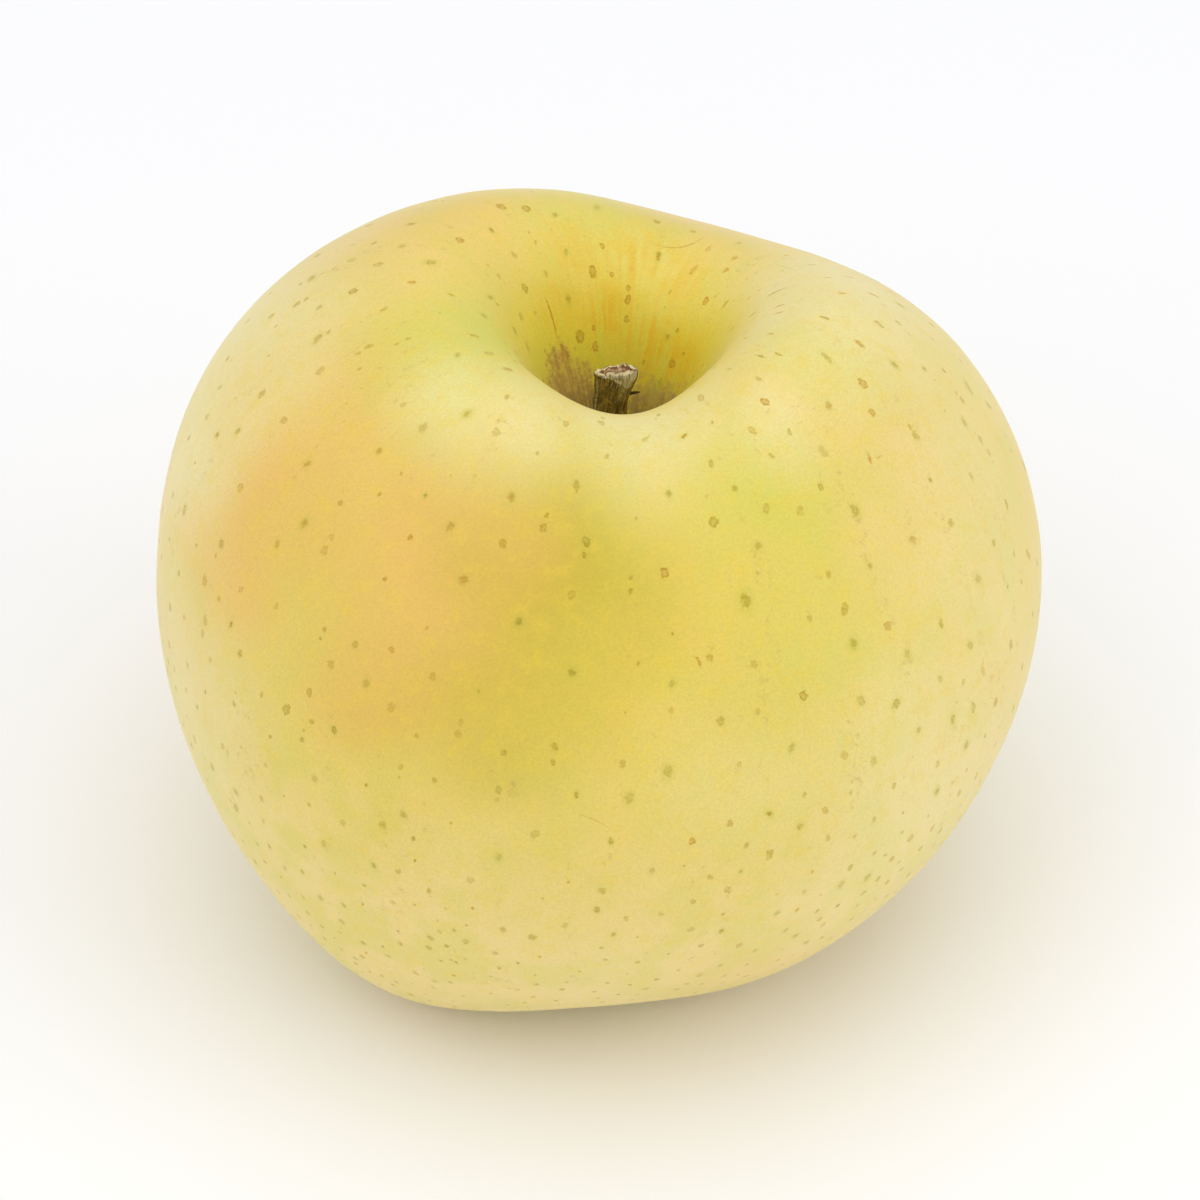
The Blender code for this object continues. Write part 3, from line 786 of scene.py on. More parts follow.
def addSplinterAndFibres(shape, foot):
    # the splinter at the right, and the torn fibres under the cut's right side
    form = stemForm
    draw = np.random.default_rng(form["seed"])
    middle = foot + Vector((form["leanX"] + form["endShift"], form["leanY"], form["length"]))
    right, forwards, up, sag = form["splinterStep"]
    root = middle + Vector(form["splinterRoot"])
    widths = form["splinterWidths"]
    path = [root + Vector((right * i, forwards * i, up * i + sag * i * i)) for i in range(len(widths))]
    addStrand(shape, path, widths, form["splinterMask"])
    for _ in range(form["fibres"]):
        turn = math.radians(draw.uniform(*form["fibreTurns"]))
        out = Vector((math.cos(turn), math.sin(turn), 0))
        reach = form["topRadius"] * draw.uniform(0.92, 1.06)
        start = middle + out * reach
        start.z += draw.uniform(-0.6, 0.1) - form["cutSlope"] * out.y * reach
        drop = draw.uniform(*form["fibreDrop"])
        bend = draw.uniform(-0.25, 0.2)
        sway = Vector((-math.sin(turn), math.cos(turn), 0)) * draw.uniform(-0.5, 0.5)
        path = []
        for s in (0, 0.35, 0.7, 1.0):
            path.append(start + out * (bend * s * s - 0.25 * s) + sway * s + Vector((0, 0, -drop * s)))
        thin = draw.uniform(*form["fibreWidth"])
        addStrand(shape, path, [thin, thin, thin * 0.7, thin * 0.2], form["fibreMask"])


# The dried calyx in millimetres, hanging below the middle of the basin
calyxForm = {
    "buttonRadius": 2.9,
    "buttonHeight": 1.7,
    "sepals": 5,
    "sepalWidth": 2.7,
    "sepalThickness": 0.28,
    "sepalPath": ((2.0, 0.9), (2.7, 2.4), (3.5, 3.7), (5.3, 4.5)),  # outwards and down
    "firstSepal": 0.3,  # in parts of the turn between two sepals
    "rows": 22,
    "columns": 9,
    "buttonProfile": ((0.3, 0.0), (0.9, 0.0), (1.0, -0.25), (0.95, -0.8),
                      (0.72, -1.0), (0.45, -0.8), (0.1, -0.6)),
    "buttonSteps": 48,
    "stamens": 16,
    "stamenWidths": (0.10, 0.08, 0.08, 0.2),
    "stamenReach": (0.9, 1.7),
    "stamenLength": (1.4, 2.6),
    "curl": (-0.25, 0.35),
    "raggedness": 0.12,
    "cup": 0.25,
    "wave": 0.12,
    "seed": 3,
}


def bezierPoint(path, share):
    rest = 1.0 - share
    weights = (rest**3, 3 * rest**2 * share, 3 * rest * share**2, share**3)
    return sum(weight * np.array(point) for weight, point in zip(weights, path))


def sepalTurns():
    count = calyxForm["sepals"]
    return [2 * math.pi * (number + calyxForm["firstSepal"]) / count for number in range(count)]


def buildCalyx(material):
    form = calyxForm
    draw = np.random.default_rng(form["seed"])
    middle = sepalMiddle(*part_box("calyx"))
    shape = buttonShape(middle)
    for turn in sepalTurns():
        addSepal(shape, middle, turn, draw)
    for number in range(form["stamens"]):
        turn = 2 * math.pi * number / form["stamens"] + draw.uniform(-0.2, 0.2)
        out = Vector((math.cos(turn), math.sin(turn), 0))
        reach = draw.uniform(*form["stamenReach"])
        long = draw.uniform(*form["stamenLength"])
        path = []
        for s in (0, 0.4, 0.8, 1.0):
            drop = Vector((0, 0, -form["buttonHeight"] * 0.6 - long * s))
            path.append(middle + out * (reach * (0.7 + 0.5 * s * s)) + drop)
        addStrand(shape, path, form["stamenWidths"], 0.8)
    shapePiece("dried_calyx", shape, material, "calyx")


def sepalMiddle(low, high):
    # the button's middle, from the reach of the five sepals to each side of it
    reach = calyxForm["sepalPath"][-1][0]
    across, forwards = [math.cos(t) for t in sepalTurns()], [math.sin(t) for t in sepalTurns()]
    x = (low.x + high.x) / 2 / mm - reach * (max(across) + min(across)) / 2
    y = (low.y + high.y) / 2 / mm - reach * (max(forwards) + min(forwards)) / 2
    return Vector((x, y, high.z / mm))


def buttonShape(middle):
    form = calyxForm
    steps = form["buttonSteps"]
    turns = np.linspace(-math.pi, math.pi, steps, endpoint=False)
    rows = []
    for share, drop in form["buttonProfile"]:
        wobble = 1 + 0.06 * noiseAt([(math.cos(t) * 2, math.sin(t) * 2, drop * 3) for t in turns])
        radius = share * form["buttonRadius"] * wobble
        height = np.full(steps, middle.z + drop * form["buttonHeight"])
        x, y = middle.x + radius * np.cos(turns), middle.y + radius * np.sin(turns)
        rows.append(np.stack([x, y, height], axis=1))
    points = np.vstack(rows)
    faces = tubeFaces(len(rows), steps)
    faces.append(tuple(range(steps)))
    faces.append(tuple(reversed(range(len(points) - steps, len(points)))))
    return newShape(points, faces, points * 0.05, np.full(len(points), 0.3))


def addSepal(shape, middle, turn, draw):
    # a cupped blade with a ragged edge and a curled tip, closed on both faces
    form = calyxForm
    rows, columns = form["rows"], form["columns"]
    outward = np.array([math.cos(turn), math.sin(turn)])
    sideways = np.array([-math.sin(turn), math.cos(turn)])
    curl = draw.uniform(*form["curl"])
    top, under, faces = [], [], []
    for row in range(rows):
        share = row / (rows - 1)
        out, down = bezierPoint(form["sepalPath"], share)
        half = form["sepalWidth"] / 2 * (1.0 - share**1.6) + 0.12
        for column in range(columns):
            side = 2 * column / (columns - 1) - 1
            ragged = 1 + form["raggedness"] * draw.normal() * (abs(side) == 1)
            cup = form["cup"] * half * side * side
            wave = form["wave"] * noise.noise(Vector((share * 4 + turn, side * 2, 0)))
            flat = outward * (out - cup + wave) + sideways * half * side * ragged
            height = middle.z - down + curl * share**3 + wave
            top.append((middle.x + flat[0], middle.y + flat[1], height))
            thick = form["sepalThickness"] * (1 - 0.6 * abs(side)) * (1 - 0.5 * share)
            inner = flat - outward * thick * 0.8
            under.append((middle.x + inner[0], middle.y + inner[1], height - thick * 0.5))
    count = rows * columns
    for row in range(rows - 1):
        for column in range(columns - 1):
            a = row * columns + column
            quad = (a, a + 1, a + columns + 1, a + columns)
            faces += [quad, tuple(count + index for index in reversed(quad))]
    rim = [row * columns for row in range(rows)]
    rim += [(rows - 1) * columns + column for column in range(1, columns)]
    rim += [row * columns + columns - 1 for row in range(rows - 2, -1, -1)]
    rim += [column for column in range(columns - 2, 0, -1)]
    for here, after in zip(rim, rim[1:] + rim[:1]):
        faces.append((here, after, count + after, count + here))
    shares = np.repeat(np.linspace(0, 1, rows), columns)
    sides = np.tile(np.linspace(-1, 1, columns), rows)
    blade = np.stack([sides, np.full(count, turn), shares], axis=1)
    addToShape(shape, np.array(top + under), faces, np.vstack([blade, blade]), np.tile(shares * 0.5, 2))


# Node helpers
def shade(red, green, blue):
    # a colour picked on a screen, as the linear values that shaders use
    def linear(value):
        value = value / 255
        return value / 12.92 if value <= 0.04045 else ((value + 0.055) / 1.055) ** 2.4

    return (linear(red), linear(green), linear(blue), 1.0)


def addNode(tree, kind, inputs=None, **settings):
    node = tree.nodes.new(kind)
    for name, value in settings.items():
        setattr(node, name, value)
    for socket, value in (inputs or {}).items():
        if isinstance(value, bpy.types.NodeSocket):
            tree.links.new(value, node.inputs[socket])
        else:
            node.inputs[socket].default_value = value
    return node


def calc(tree, operation, first, second=0.0, clamp=False):
    inputs = {0: first, 1: second}
    return addNode(tree, "ShaderNodeMath", inputs, operation=operation, use_clamp=clamp).outputs[0]


def times(tree, first, second):
    return calc(tree, "MULTIPLY", first, second)


def plus(tree, first, second):
    return calc(tree, "ADD", first, second)


def minus(tree, first, second):
    return calc(tree, "SUBTRACT", first, second)


def vectorCalc(tree, operation, first, second=(0.0, 0.0, 0.0)):
    return addNode(tree, "ShaderNodeVectorMath", {0: first, 1: second}, operation=operation)


def remap(tree, value, fromMin, fromMax, toMin=0.0, toMax=1.0, kind="SMOOTHSTEP"):
    inputs = {"Value": value, "From Min": fromMin, "From Max": fromMax, "To Min": toMin, "To Max": toMax}
    return addNode(tree, "ShaderNodeMapRange", inputs, interpolation_type=kind).outputs["Result"]


def blendColour(tree, factor, first, second, mode="MIX"):
    inputs = {0: factor, 6: first, 7: second}
    return addNode(tree, "ShaderNodeMix", inputs, data_type="RGBA", blend_type=mode).outputs[2]


def noiseValue(tree, vector, scale, detail=2.0, roughness=0.5, output="Fac"):
    inputs = {"Vector": vector, "Scale": scale, "Detail": detail, "Roughness": roughness}
    return addNode(tree, "ShaderNodeTexNoise", inputs).outputs[output]


def newGroup(name, inputs, outputs):
    # inputs are name: (socket type, value), outputs are name: socket type
    group = bpy.data.node_groups.new(name, "ShaderNodeTree")
    for label, (kind, value) in inputs.items():
        socket = group.interface.new_socket(label, in_out="INPUT", socket_type=kind)
        socket.default_value = value
    for label, kind in outputs.items():
        group.interface.new_socket(label, in_out="OUTPUT", socket_type=kind)
    return group, group.nodes.new("NodeGroupInput").outputs, group.nodes.new("NodeGroupOutput").inputs


def useGroup(tree, group, inputs):
    node = tree.nodes.new("ShaderNodeGroup")
    node.node_tree = group
    for socket, value in inputs.items():
        if isinstance(value, bpy.types.NodeSocket):
            tree.links.new(value, node.inputs[socket])
        else:
            node.inputs[socket].default_value = value
    return node.outputs


vectorSocket, floatSocket = "NodeSocketVector", "NodeSocketFloat"


def makeStreakGroup():
    # streaks that run with the growth, narrow across it and long along it
    inputs = {"Growth": (vectorSocket, (0, 0, 0))}
    for name, start in (("Fineness", 12.0), ("Length", 1.0), ("Contrast", 0.2)):
        inputs[name] = (floatSocket, start)
    group, given, result = newGroup("growthStreaks", inputs, {"Mask": floatSocket})
    parts = vectorParts(group, given["Growth"])
    alongPart = calc(group, "DIVIDE", parts["Z"], given["Length"])
    across = [times(group, parts[axis], given["Fineness"]) for axis in ("X", "Y")]
    stretched = addNode(group, "ShaderNodeCombineXYZ", {"X": across[0], "Y": across[1], "Z": alongPart})
    grain = noiseValue(group, stretched.outputs[0], 1.0, 2.0, 0.6)
    low = minus(group, 0.5, given["Contrast"])
    high = plus(group, 0.5, given["Contrast"])
    group.links.new(remap(group, grain, low, high), result["Mask"])
    return group


def makeGrainGroup():
    # fine speckle and slow mottling, from the place on the object in millimetres
    inputs = {"Position": (vectorSocket, (0, 0, 0))}
    inputs.update({"Speckle Size": (floatSocket, 0.5), "Mottle Size": (floatSocket, 9.0)})
    group, given, result = newGroup("fineGrain", inputs, {"Speckle": floatSocket, "Mottle": floatSocket})
    speckleScale = calc(group, "DIVIDE", 1.0, given["Speckle Size"])
    mottleScale = calc(group, "DIVIDE", 1.0, given["Mottle Size"])
    group.links.new(noiseValue(group, given["Position"], speckleScale, 2.0, 0.6), result["Speckle"])
    group.links.new(noiseValue(group, given["Position"], mottleScale, 4.0, 0.6), result["Mottle"])
    return group


def makeLenticelGroup():
    # a corky ring with a paler middle, or a plain dot, and a faint green halo; distances in the spot's radii
    ringAt, ringWidth, haloFrom, haloTo = 0.78, 0.46, 0.8, 2.6
    inputs = {"Offset": (vectorSocket, (9, 9, 0)), "Look": (vectorSocket, (0, 0, 0))}
    inputs.update({"Position": (vectorSocket, (0, 0, 0)), "Raggedness": (floatSocket, 0.5)})
    outputs = {"Dark": floatSocket, "Pale": floatSocket, "Halo": floatSocket, "Warmth": floatSocket}
    group, given, result = newGroup("lenticelMarks", inputs, outputs)
    offset = vectorParts(group, given["Offset"])
    look = vectorParts(group, given["Look"])
    flat = addNode(group, "ShaderNodeCombineXYZ", {"X": offset["X"], "Y": offset["Y"]}).outputs[0]
    warp = minus(group, noiseValue(group, given["Position"], 3.4, 0.0), 0.5)
    warp = times(group, warp, given["Raggedness"])
    distance = plus(group, vectorCalc(group, "LENGTH", flat).outputs["Value"], warp)

    fromRing = calc(group, "ABSOLUTE", minus(group, distance, ringAt))
    ring = times(group, remap(group, fromRing, 0.04, ringWidth, 1.0, 0.0), look["X"])
    disc = times(group, look["X"], -0.4)
    disc = times(group, remap(group, distance, 0.5, 1.25, 1.0, 0.0), plus(group, disc, 1.0))
    uneven = remap(group, noiseValue(group, given["Position"], 5.0, 0.0), 0.32, 0.62, 0.6, 1.0)
    filled = calc(group, "MAXIMUM", ring, disc)
    dark = times(group, times(group, filled, look["Y"]), uneven)
    paleAndPaintedHighlight = times(group, remap(group, distance, 0.2, 0.6, 1.0, 0.0), look["X"])
    halo = times(group, remap(group, distance, haloFrom, haloTo, 1.0, 0.0), look["Z"])
    group.links.new(dark, result["Dark"])
    group.links.new(paleAndPaintedHighlight, result["Pale"])
    group.links.new(halo, result["Halo"])
    group.links.new(offset["Z"], result["Warmth"])
    return group


def newMaterial(name):
    material = bpy.data.materials.new(name)
    material.use_nodes = True
    tree = material.node_tree
    return material, tree, tree.nodes["Principled BSDF"]


def objectPosition(tree):
    # the place on the object in millimetres
    place = addNode(tree, "ShaderNodeTexCoord").outputs["Object"]
    return addNode(tree, "ShaderNodeVectorMath", {0: place, "Scale": 1 / mm}, operation="SCALE").outputs[0]


def attribute(tree, name, output="Fac"):
    return addNode(tree, "ShaderNodeAttribute", attribute_name=name).outputs[output]


def vectorParts(tree, vector):
    return addNode(tree, "ShaderNodeSeparateXYZ", {0: vector}).outputs


def streaks(tree, groups, growth, fineness, length, contrast):
    given = {"Growth": growth, "Fineness": fineness, "Length": length, "Contrast": contrast}
    return useGroup(tree, groups["streaks"], given)["Mask"]


def grainOf(tree, groups, position, look):
    given = {"Position": position, "Speckle Size": look["speckleSize"], "Mottle Size": look["mottleSize"]}
    return useGroup(tree, groups["grain"], given)


def setRoughness(tree, shader, speckle, low, high):
    tree.links.new(remap(tree, speckle, 0.2, 0.8, low, high), shader.inputs["Roughness"])


def setBump(tree, shader, height, strength, distance):
    bump = addNode(tree, "ShaderNodeBump", {"Height": height, "Strength": strength, "Distance": distance})
    tree.links.new(bump.outputs["Normal"], shader.inputs["Normal"])


# The skin's colours as seen on a screen
skinLook = {
    "ground": shade(236, 210, 109),
    # paler skin towards the calyx, partly painted sheen and floor bounce light on the lower half
    "groundLowAndSheen": shade(240, 215, 132),
    "groundGreen": shade(227, 211, 103),
    "gold": shade(233, 196, 62),
    "olive": shade(200, 181, 34),
    "green": shade(210, 211, 78),
    "peach": shade(239, 187, 98),
    # paler skin, and the colour of the painted highlight and sheen of the pale patches
    "paleAndPaintedHighlight": shade(245, 231, 170),
    "wall": shade(235, 217, 58),
    "wallGreen": shade(212, 204, 56),
    # the deep pit wall, darker olive: partly painted shade of the pit
    "wallDeepShade": shade(212, 203, 60),
    "amber": shade(230, 184, 22),
    "fleck": shade(238, 206, 60),
    "scurf": shade(176, 156, 86),
    "spot": shade(202, 196, 82),  # darkens the skin below a spot
    "warmSpot": shade(218, 182, 72),
    "spotMiddle": shade(230, 208, 136),
    "spotHalo": shade(190, 188, 58),
    "russet": shade(172, 124, 54),
    "russetPale": shade(208, 172, 84),
    "pitBrown": shade(126, 98, 48),
    "pitBrownPale": shade(160, 136, 76),
    "veil": shade(255, 246, 206),
    "veilShare": 0.38,
    "veilRoughness": 0.4,
    "roughness": 0.42,
    "waxIor": 1.42,
    # how far along the skin from the stem, in parts of 40 mm, each of these starts and is full
    "lowGroundAndSheen": (1.4, 2.0),
    "pitWall": (0.62, 0.34),
    "deepWallShade": (0.42, 0.2),
    "stemFloor": (0.36, 0.1),
    "mottleShare": 0.8,
    "fleckSize": 1.6,
    "fleckShare": 0.33,
    "haloShare": 0.3,
    "paleShare": 0.15,
    "wallShare": (0.62, 0.3),  # everywhere, and more in the streaks
    "wallGreenShare": 0.5,
    "deepShadeShare": 0.6,
    "russetShare": 0.85,
    "scurfShare": 0.7,
    "fringeShare": 0.6,
    "speckleSize": 0.22,
    "speckleDepth": 0.04,
    "raggedScale": 1.3,
    "bumpStrength": 0.35,
    "bumpDistance": 0.00008,
}


def groundColour(tree, alongSkin, masks, flecks):
    look = skinLook
    # the lower half turns paler: partly paler skin, partly painted sheen and floor bounce light
    colour = blendColour(tree, remap(tree, alongSkin, *look["lowGroundAndSheen"]), look["ground"], look["groundLowAndSheen"])
    colour = blendColour(tree, times(tree, masks["mottle"], look["mottleShare"]), colour, look["groundGreen"])
    # the pale patches paint highlight and sheen as well as paler skin
    for tint in ("gold", "olive", "peach", "green", "paleAndPaintedHighlight"):
        colour = blendColour(tree, masks[tint], colour, look[tint])
    return blendColour(tree, remap(tree, flecks, 0.44, 0.74, 0.0, look["fleckShare"]), colour, look["fleck"])


def pitColour(tree, colour, alongSkin, masks, inPit, streaked, flecks):
    # down the pit the skin turns deeper yellow, greener between the streaks and golden in patches, and darker
    # olive towards the bottom, which is partly painted shade
    look = skinLook
    share = plus(tree, times(tree, streaked, look["wallShare"][1]), look["wallShare"][0])
    colour = blendColour(tree, times(tree, inPit, share), colour, look["wall"])
    green = times(tree, minus(tree, 1.0, streaked), look["wallGreenShare"])
    colour = blendColour(tree, times(tree, inPit, green), colour, look["wallGreen"])
    # painted shade: darker towards the pit's bottom
    deep = times(tree, remap(tree, alongSkin, *look["deepWallShade"]), look["deepShadeShare"])
    colour = blendColour(tree, deep, colour, look["wallDeepShade"])
    amber = times(tree, masks["amber"], remap(tree, plus(tree, streaked, flecks), 0.5, 1.3))
    return blendColour(tree, amber, colour, look["amber"])


def spotColour(tree, colour, marks):
    look = skinLook
    colour = blendColour(tree, times(tree, marks["Halo"], look["haloShare"]), colour, look["spotHalo"])
    colour = blendColour(tree, times(tree, marks["Pale"], look["paleShare"]), colour, look["spotMiddle"])
    darkening = blendColour(tree, marks["Warmth"], look["spot"], look["warmSpot"])
    return blendColour(tree, marks["Dark"], colour, darkening, "MULTIPLY")


def russetColour(tree, colour, position, alongSkin, masks, streaked):
    # russet: a ragged patch at the left of the pit, scurf at its right, and brown in rays round the stem
    look = skinLook
    ragged = noiseValue(tree, position, look["raggedScale"], 2.0, 0.8)
    russet = times(tree, remap(tree, plus(tree, masks["russet"], ragged), 0.75, 1.25), look["russetShare"])
    mixed = remap(tree, plus(tree, times(tree, masks["fineStreaks"], 0.25), ragged), 0.48, 0.78)
    mixed = blendColour(tree, mixed, look["russetPale"], look["russet"])
    colour = blendColour(tree, russet, colour, mixed)
    scurf = times(tree, remap(tree, plus(tree, masks["scurf"], ragged), 0.7, 1.15), look["scurfShare"])
    colour = blendColour(tree, scurf, colour, look["scurf"])
    floorMask = remap(tree, alongSkin, *look["stemFloor"])
    floorMask = plus(tree, floorMask, times(tree, minus(tree, ragged, 0.5), 1.2))
    floorMask = plus(tree, floorMask, times(tree, minus(tree, streaked, 0.5), 0.45))
    fringe = remap(tree, floorMask, 0.15, 0.6, 0.0, look["fringeShare"])
    colour = blendColour(tree, fringe, colour, look["russetPale"])
    floorBrown = blendColour(tree, remap(tree, ragged, 0.4, 0.6), look["pitBrown"], look["pitBrownPale"])
    return blendColour(tree, remap(tree, floorMask, 0.3, 1.0), colour, floorBrown), russet


def makeSkin(groups):
    look = skinLook
    material, tree, shader = newMaterial("waxy_yellow_skin")
    position = objectPosition(tree)
    alongSkin = vectorParts(tree, attribute(tree, "growth", "Vector"))["Z"]
    grain = useGroup(tree, groups["grain"], {"Position": position, "Speckle Size": look["speckleSize"]})
    masks = {}
    for tint in (*skinTints["patches"], *pitStreaks, "mottle"):
        masks[tint] = attribute(tree, tint)
    flecks = noiseValue(tree, position, 1 / look["fleckSize"], 3.0, 0.65)
    inPit = remap(tree, alongSkin, *look["pitWall"])
    fine = masks["fineStreaks"]
    streaked = plus(tree, times(tree, masks["broadStreaks"], 0.6), times(tree, fine, 0.4))
    marks = useGroup(tree, groups["lenticels"], {
        "Offset": attribute(tree, "spotOffset", "Vector"),
        "Look": attribute(tree, "spotLook", "Vector"),
        "Position": position,
        "Raggedness": 1.0,
    })

    colour = groundColour(tree, alongSkin, masks, flecks)
    colour = pitColour(tree, colour, alongSkin, masks, inPit, streaked, flecks)
    colour = spotColour(tree, colour, marks)
    colour, russet = russetColour(tree, colour, position, alongSkin, masks, streaked)
    depth = look["speckleDepth"]
    speckled = remap(tree, grain["Speckle"], 0.3, 0.7, 1.0 - depth, 1.0 + depth)
    tree.links.new(blendColour(tree, 1.0, colour, speckled, "MULTIPLY"), shader.inputs["Base Color"])

    roughness = remap(tree, grain["Speckle"], 0.3, 0.7, look["roughness"] - 0.05, look["roughness"] + 0.06)
    dry = times(tree, plus(tree, russet, marks["Dark"]), 0.3)
    tree.links.new(calc(tree, "ADD", roughness, dry, clamp=True), shader.inputs["Roughness"])
    shader.inputs["IOR"].default_value = look["waxIor"]
    shader.inputs["Sheen Weight"].default_value = look["veilShare"]
    shader.inputs["Sheen Roughness"].default_value = look["veilRoughness"]
    shader.inputs["Sheen Tint"].default_value = look["veil"]

    height = times(tree, noiseValue(tree, position, 1 / 1.1, 1.0, 0.6), 0.7)
    height = plus(tree, height, times(tree, marks["Dark"], -0.4))
    height = plus(tree, height, times(tree, fine, times(tree, inPit, 0.9)))
    setBump(tree, shader, height, look["bumpStrength"], look["bumpDistance"])
    return material


# The stem's wood, with colours as seen on a screen
stemLook = {
    "bark": shade(164, 137, 58),
    "barkDark": shade(86, 65, 20),
    "barkGreen": shade(158, 146, 78),
    "cutRim": shade(246, 228, 168),
    "cutRing": shade(128, 84, 42),
    "cutMiddle": shade(222, 184, 138),
    "ledge": shade(246, 222, 168),
    "fibre": shade(240, 234, 214),
    "fibreDark": shade(150, 134, 98),
    "coarseStreaks": (4.0, 0.14, 0.14),  # how fine across, how long, how sharp
    "fineStreaks": (14.0, 0.12, 0.16),
    "speckleSize": 0.16,
    "mottleSize": 0.8,
    "roughness": 0.85,
    "bumpStrength": 0.8,
    "bumpDistance": 0.00018,
}


def makeStemWood(groups):
    look = stemLook
    material, tree, shader = newMaterial("dry_stem_wood")
    position = objectPosition(tree)
    growth = attribute(tree, "growth", "Vector")
    cut = attribute(tree, "cutFace")
    grain = grainOf(tree, groups, position, look)
    coarse = streaks(tree, groups, growth, *look["coarseStreaks"])
    fine = streaks(tree, groups, growth, *look["fineStreaks"])
    bark = blendColour(tree, coarse, look["barkDark"], look["bark"])
    bark = blendColour(tree, times(tree, fine, 0.5), bark, look["barkGreen"])
    bark = blendColour(tree, remap(tree, grain["Speckle"], 0.48, 0.6, 0.0, 0.75), bark, look["barkDark"])
    bark = blendColour(tree, remap(tree, cut, -0.1, -0.4), bark, look["barkDark"])

    # inwards over the cut: a pale rim, a brown ring and a pale pith
    inward = minus(tree, vectorParts(tree, growth)["Z"], 2.0)
    inward = plus(tree, inward, times(tree, minus(tree, grain["Mottle"], 0.5), 0.6))
    face = blendColour(tree, remap(tree, inward, 0.16, 0.24), look["cutRim"], look["cutRing"])
    face = blendColour(tree, remap(tree, inward, 0.36, 0.5), face, look["cutMiddle"])
    face = blendColour(tree, remap(tree, grain["Mottle"], 0.5, 0.62, 0.0, 0.6), face, look["cutRing"])
    # a pale ledge along the front of the cut, with a brown line behind it
    across = vectorParts(tree, growth)["Y"]
    across = plus(tree, across, times(tree, minus(tree, grain["Mottle"], 0.5), 1.6))
    line = times(tree, remap(tree, across, 0.55, 0.3), remap(tree, inward, 0.1, 0.16))
    face = blendColour(tree, times(tree, line, 0.85), face, look["cutRing"])
    ledge = times(tree, remap(tree, across, 0.2, 0.05), remap(tree, inward, 0.14, 0.22))
    face = blendColour(tree, ledge, face, look["ledge"])
    fibre = blendColour(tree, fine, look["fibreDark"], look["fibre"])
    surface = blendColour(tree, remap(tree, cut, 0.7, 0.95), fibre, face)
    torn = plus(tree, cut, times(tree, minus(tree, grain["Speckle"], 0.5), 0.8))
    colour = blendColour(tree, remap(tree, torn, 0.3, 0.55), bark, surface)
    tree.links.new(colour, shader.inputs["Base Color"])
    setRoughness(tree, shader, grain["Speckle"], look["roughness"] - 0.1, look["roughness"] + 0.1)
    height = plus(tree, times(tree, coarse, 0.6), plus(tree, times(tree, fine, 0.4), grain["Speckle"]))
    setBump(tree, shader, height, look["bumpStrength"], look["bumpDistance"])
    return material


# The calyx's dry tissue
calyxLook = {
    "dark": shade(74, 54, 32),
    "light": shade(140, 112, 70),
    "tip": shade(172, 150, 108),
    "veins": (6.0, 0.5, 0.15),
    "speckleSize": 0.2,
    "mottleSize": 1.4,
    "roughness": 0.9,
    "bumpStrength": 0.7,
    "bumpDistance": 0.00015,
}


def makeCalyxMaterial(groups):
    look = calyxLook
    material, tree, shader = newMaterial("dry_calyx_tissue")
    position = objectPosition(tree)
    growth = attribute(tree, "growth", "Vector")
    shareOut = attribute(tree, "cutFace")
    grain = grainOf(tree, groups, position, look)
    veins = streaks(tree, groups, growth, *look["veins"])
    colour = blendColour(tree, grain["Mottle"], look["dark"], look["light"])
    colour = blendColour(tree, times(tree, veins, 0.5), colour, look["dark"])
    colour = blendColour(tree, remap(tree, shareOut, 0.25, 0.9), colour, look["tip"])
    tree.links.new(colour, shader.inputs["Base Color"])
    setRoughness(tree, shader, grain["Speckle"], look["roughness"] - 0.1, look["roughness"])
    height = plus(tree, veins, grain["Speckle"])
    setBump(tree, shader, height, look["bumpStrength"], look["bumpDistance"])
    return material


# The floor, the lights and the camera, in metres and degrees
studio = {
    "floorRadius": 2.5,
    "floorSteps": 96,
    "floorRoughness": 0.9,
    "floorColour": shade(254, 254, 254),
    "worldStrength": 0.66,
    "worldColour": (0.988, 0.995, 1.03, 1.0),
    # name: (azimuth from the front, elevation, distance, size, watts)
    "lights": {
        "overhead": (0, 88, 0.9, 1.0, 2.5),
        "left_front": (-50, 45, 1.0, 0.8, 1.15),
        "right_front": (70, 30, 1.1, 0.8, 1.6),
    },
    "target": (0.0, 0.0, 0.0295),
}

view = {
    "elevation": 40.7,
    "distance": 0.45,
    "pixelsPerMillimetre": 10.882,  # in the photograph, at the target
    "frameWidth": 1200,
    "middle": (599.0, 603.0),  # where the target lies in the photograph's pixels
    "sensor": 36.0,
}


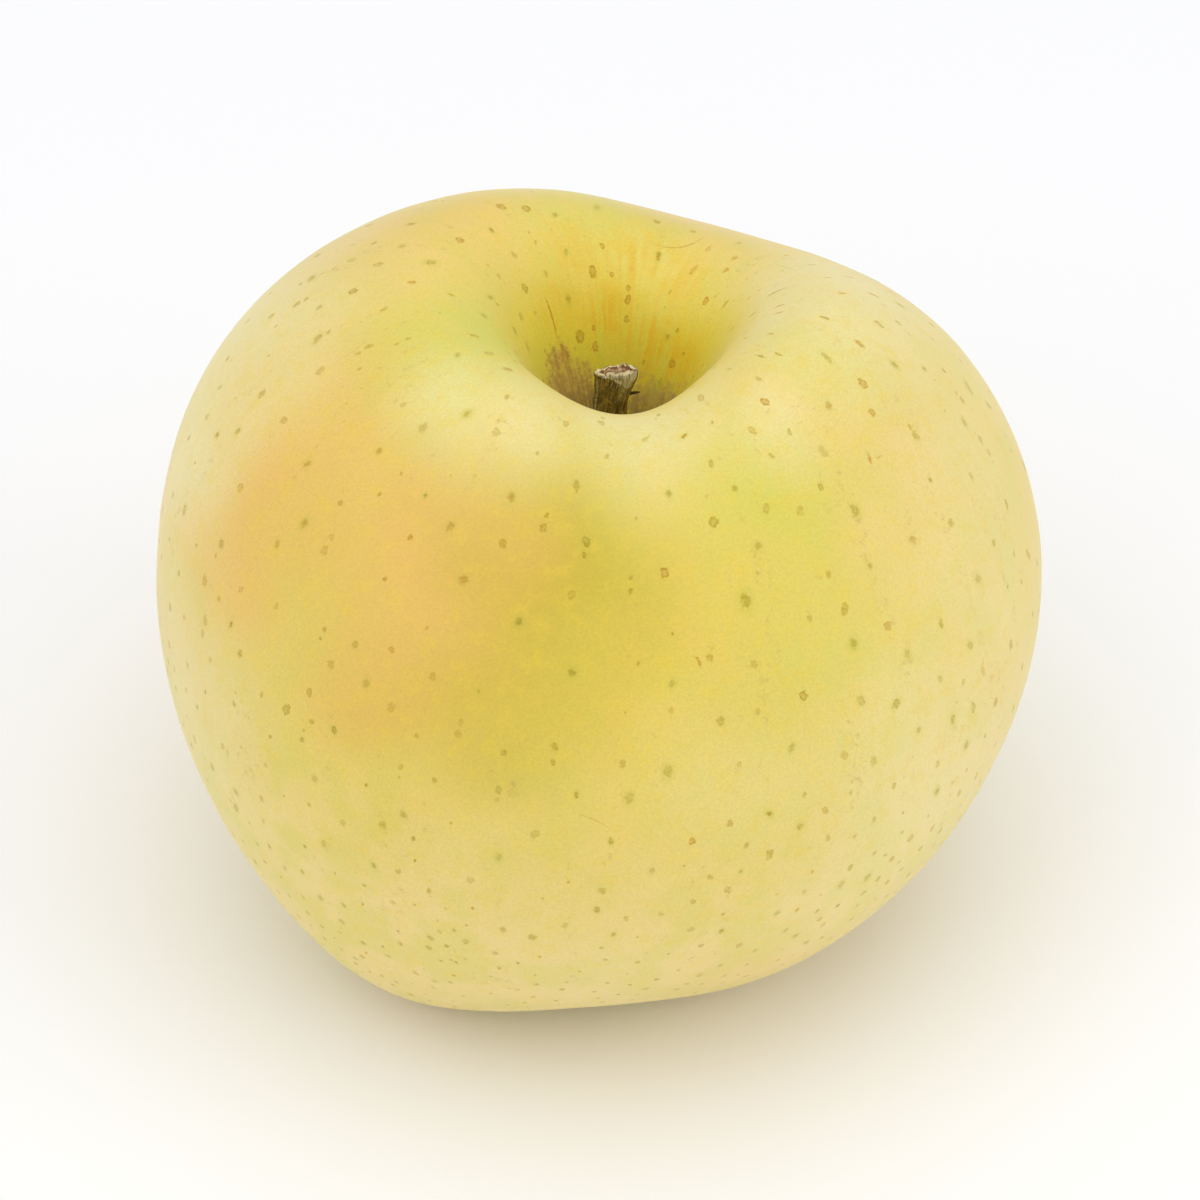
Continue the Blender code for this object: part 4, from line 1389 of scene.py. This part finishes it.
def buildFloor():
    mesh = bpy.data.meshes.new("floor")
    radius, steps = studio["floorRadius"], studio["floorSteps"]
    turns = [2 * math.pi * step / steps for step in range(steps)]
    rim = [(radius * math.cos(turn), radius * math.sin(turn), 0.0) for turn in turns]
    mesh.from_pydata(rim, [], [tuple(range(steps))])
    floor = bpy.data.objects.new("floor", mesh)
    bpy.context.scene.collection.objects.link(floor)
    material, _, shader = newMaterial("pale_floor")
    shader.inputs["Base Color"].default_value = studio["floorColour"]
    shader.inputs["Roughness"].default_value = studio["floorRoughness"]
    shader.inputs["Specular IOR Level"].default_value = 0.0
    mesh.materials.append(material)


def aim(obj, place, target):
    obj.location = place
    obj.rotation_euler = (Vector(target) - Vector(place)).to_track_quat("-Z", "Y").to_euler()


def around(azimuth, elevation, distance, target):
    # a place seen from the target: azimuth 0 is the front, and positive turns to the right
    a, e = math.radians(azimuth), math.radians(elevation)
    away = Vector((math.sin(a) * math.cos(e), -math.cos(a) * math.cos(e), math.sin(e)))
    return Vector(target) + away * distance


def buildStudio():
    scene = bpy.context.scene
    world = bpy.data.worlds.new("soft_white")
    world.use_nodes = True
    background = world.node_tree.nodes["Background"]
    background.inputs["Color"].default_value = studio["worldColour"]
    background.inputs["Strength"].default_value = studio["worldStrength"]
    scene.world = world
    for name, (azimuth, elevation, distance, size, watts) in studio["lights"].items():
        lamp = bpy.data.lights.new(name, "AREA")
        lamp.shape = "DISK"
        lamp.size = size
        lamp.energy = watts
        light = bpy.data.objects.new(name, lamp)
        scene.collection.objects.link(light)
        aim(light, around(azimuth, elevation, distance, studio["target"]), studio["target"])
    scene.view_settings.view_transform = "Standard"


def buildCamera():
    data = bpy.data.cameras.new("camera")
    data.sensor_width = view["sensor"]
    half = view["frameWidth"] / 2
    data.lens = view["sensor"] * view["pixelsPerMillimetre"] / mm * view["distance"] / view["frameWidth"]
    data.shift_x = (half - view["middle"][0]) / view["frameWidth"]
    data.shift_y = (view["middle"][1] - half) / view["frameWidth"]
    camera = bpy.data.objects.new("camera", data)
    bpy.context.scene.collection.objects.link(camera)
    aim(camera, around(0, view["elevation"], view["distance"], studio["target"]), studio["target"])
    bpy.context.scene.camera = camera


groups = {
    "streaks": makeStreakGroup(),
    "grain": makeGrainGroup(),
    "lenticels": makeLenticelGroup(),
}
print("materials")
pitFloor = buildFruit(makeSkin(groups))
buildStem(makeStemWood(groups), pitFloor)
buildCalyx(makeCalyxMaterial(groups))
buildFloor()
buildStudio()
buildCamera()
print("stage, lights and camera")
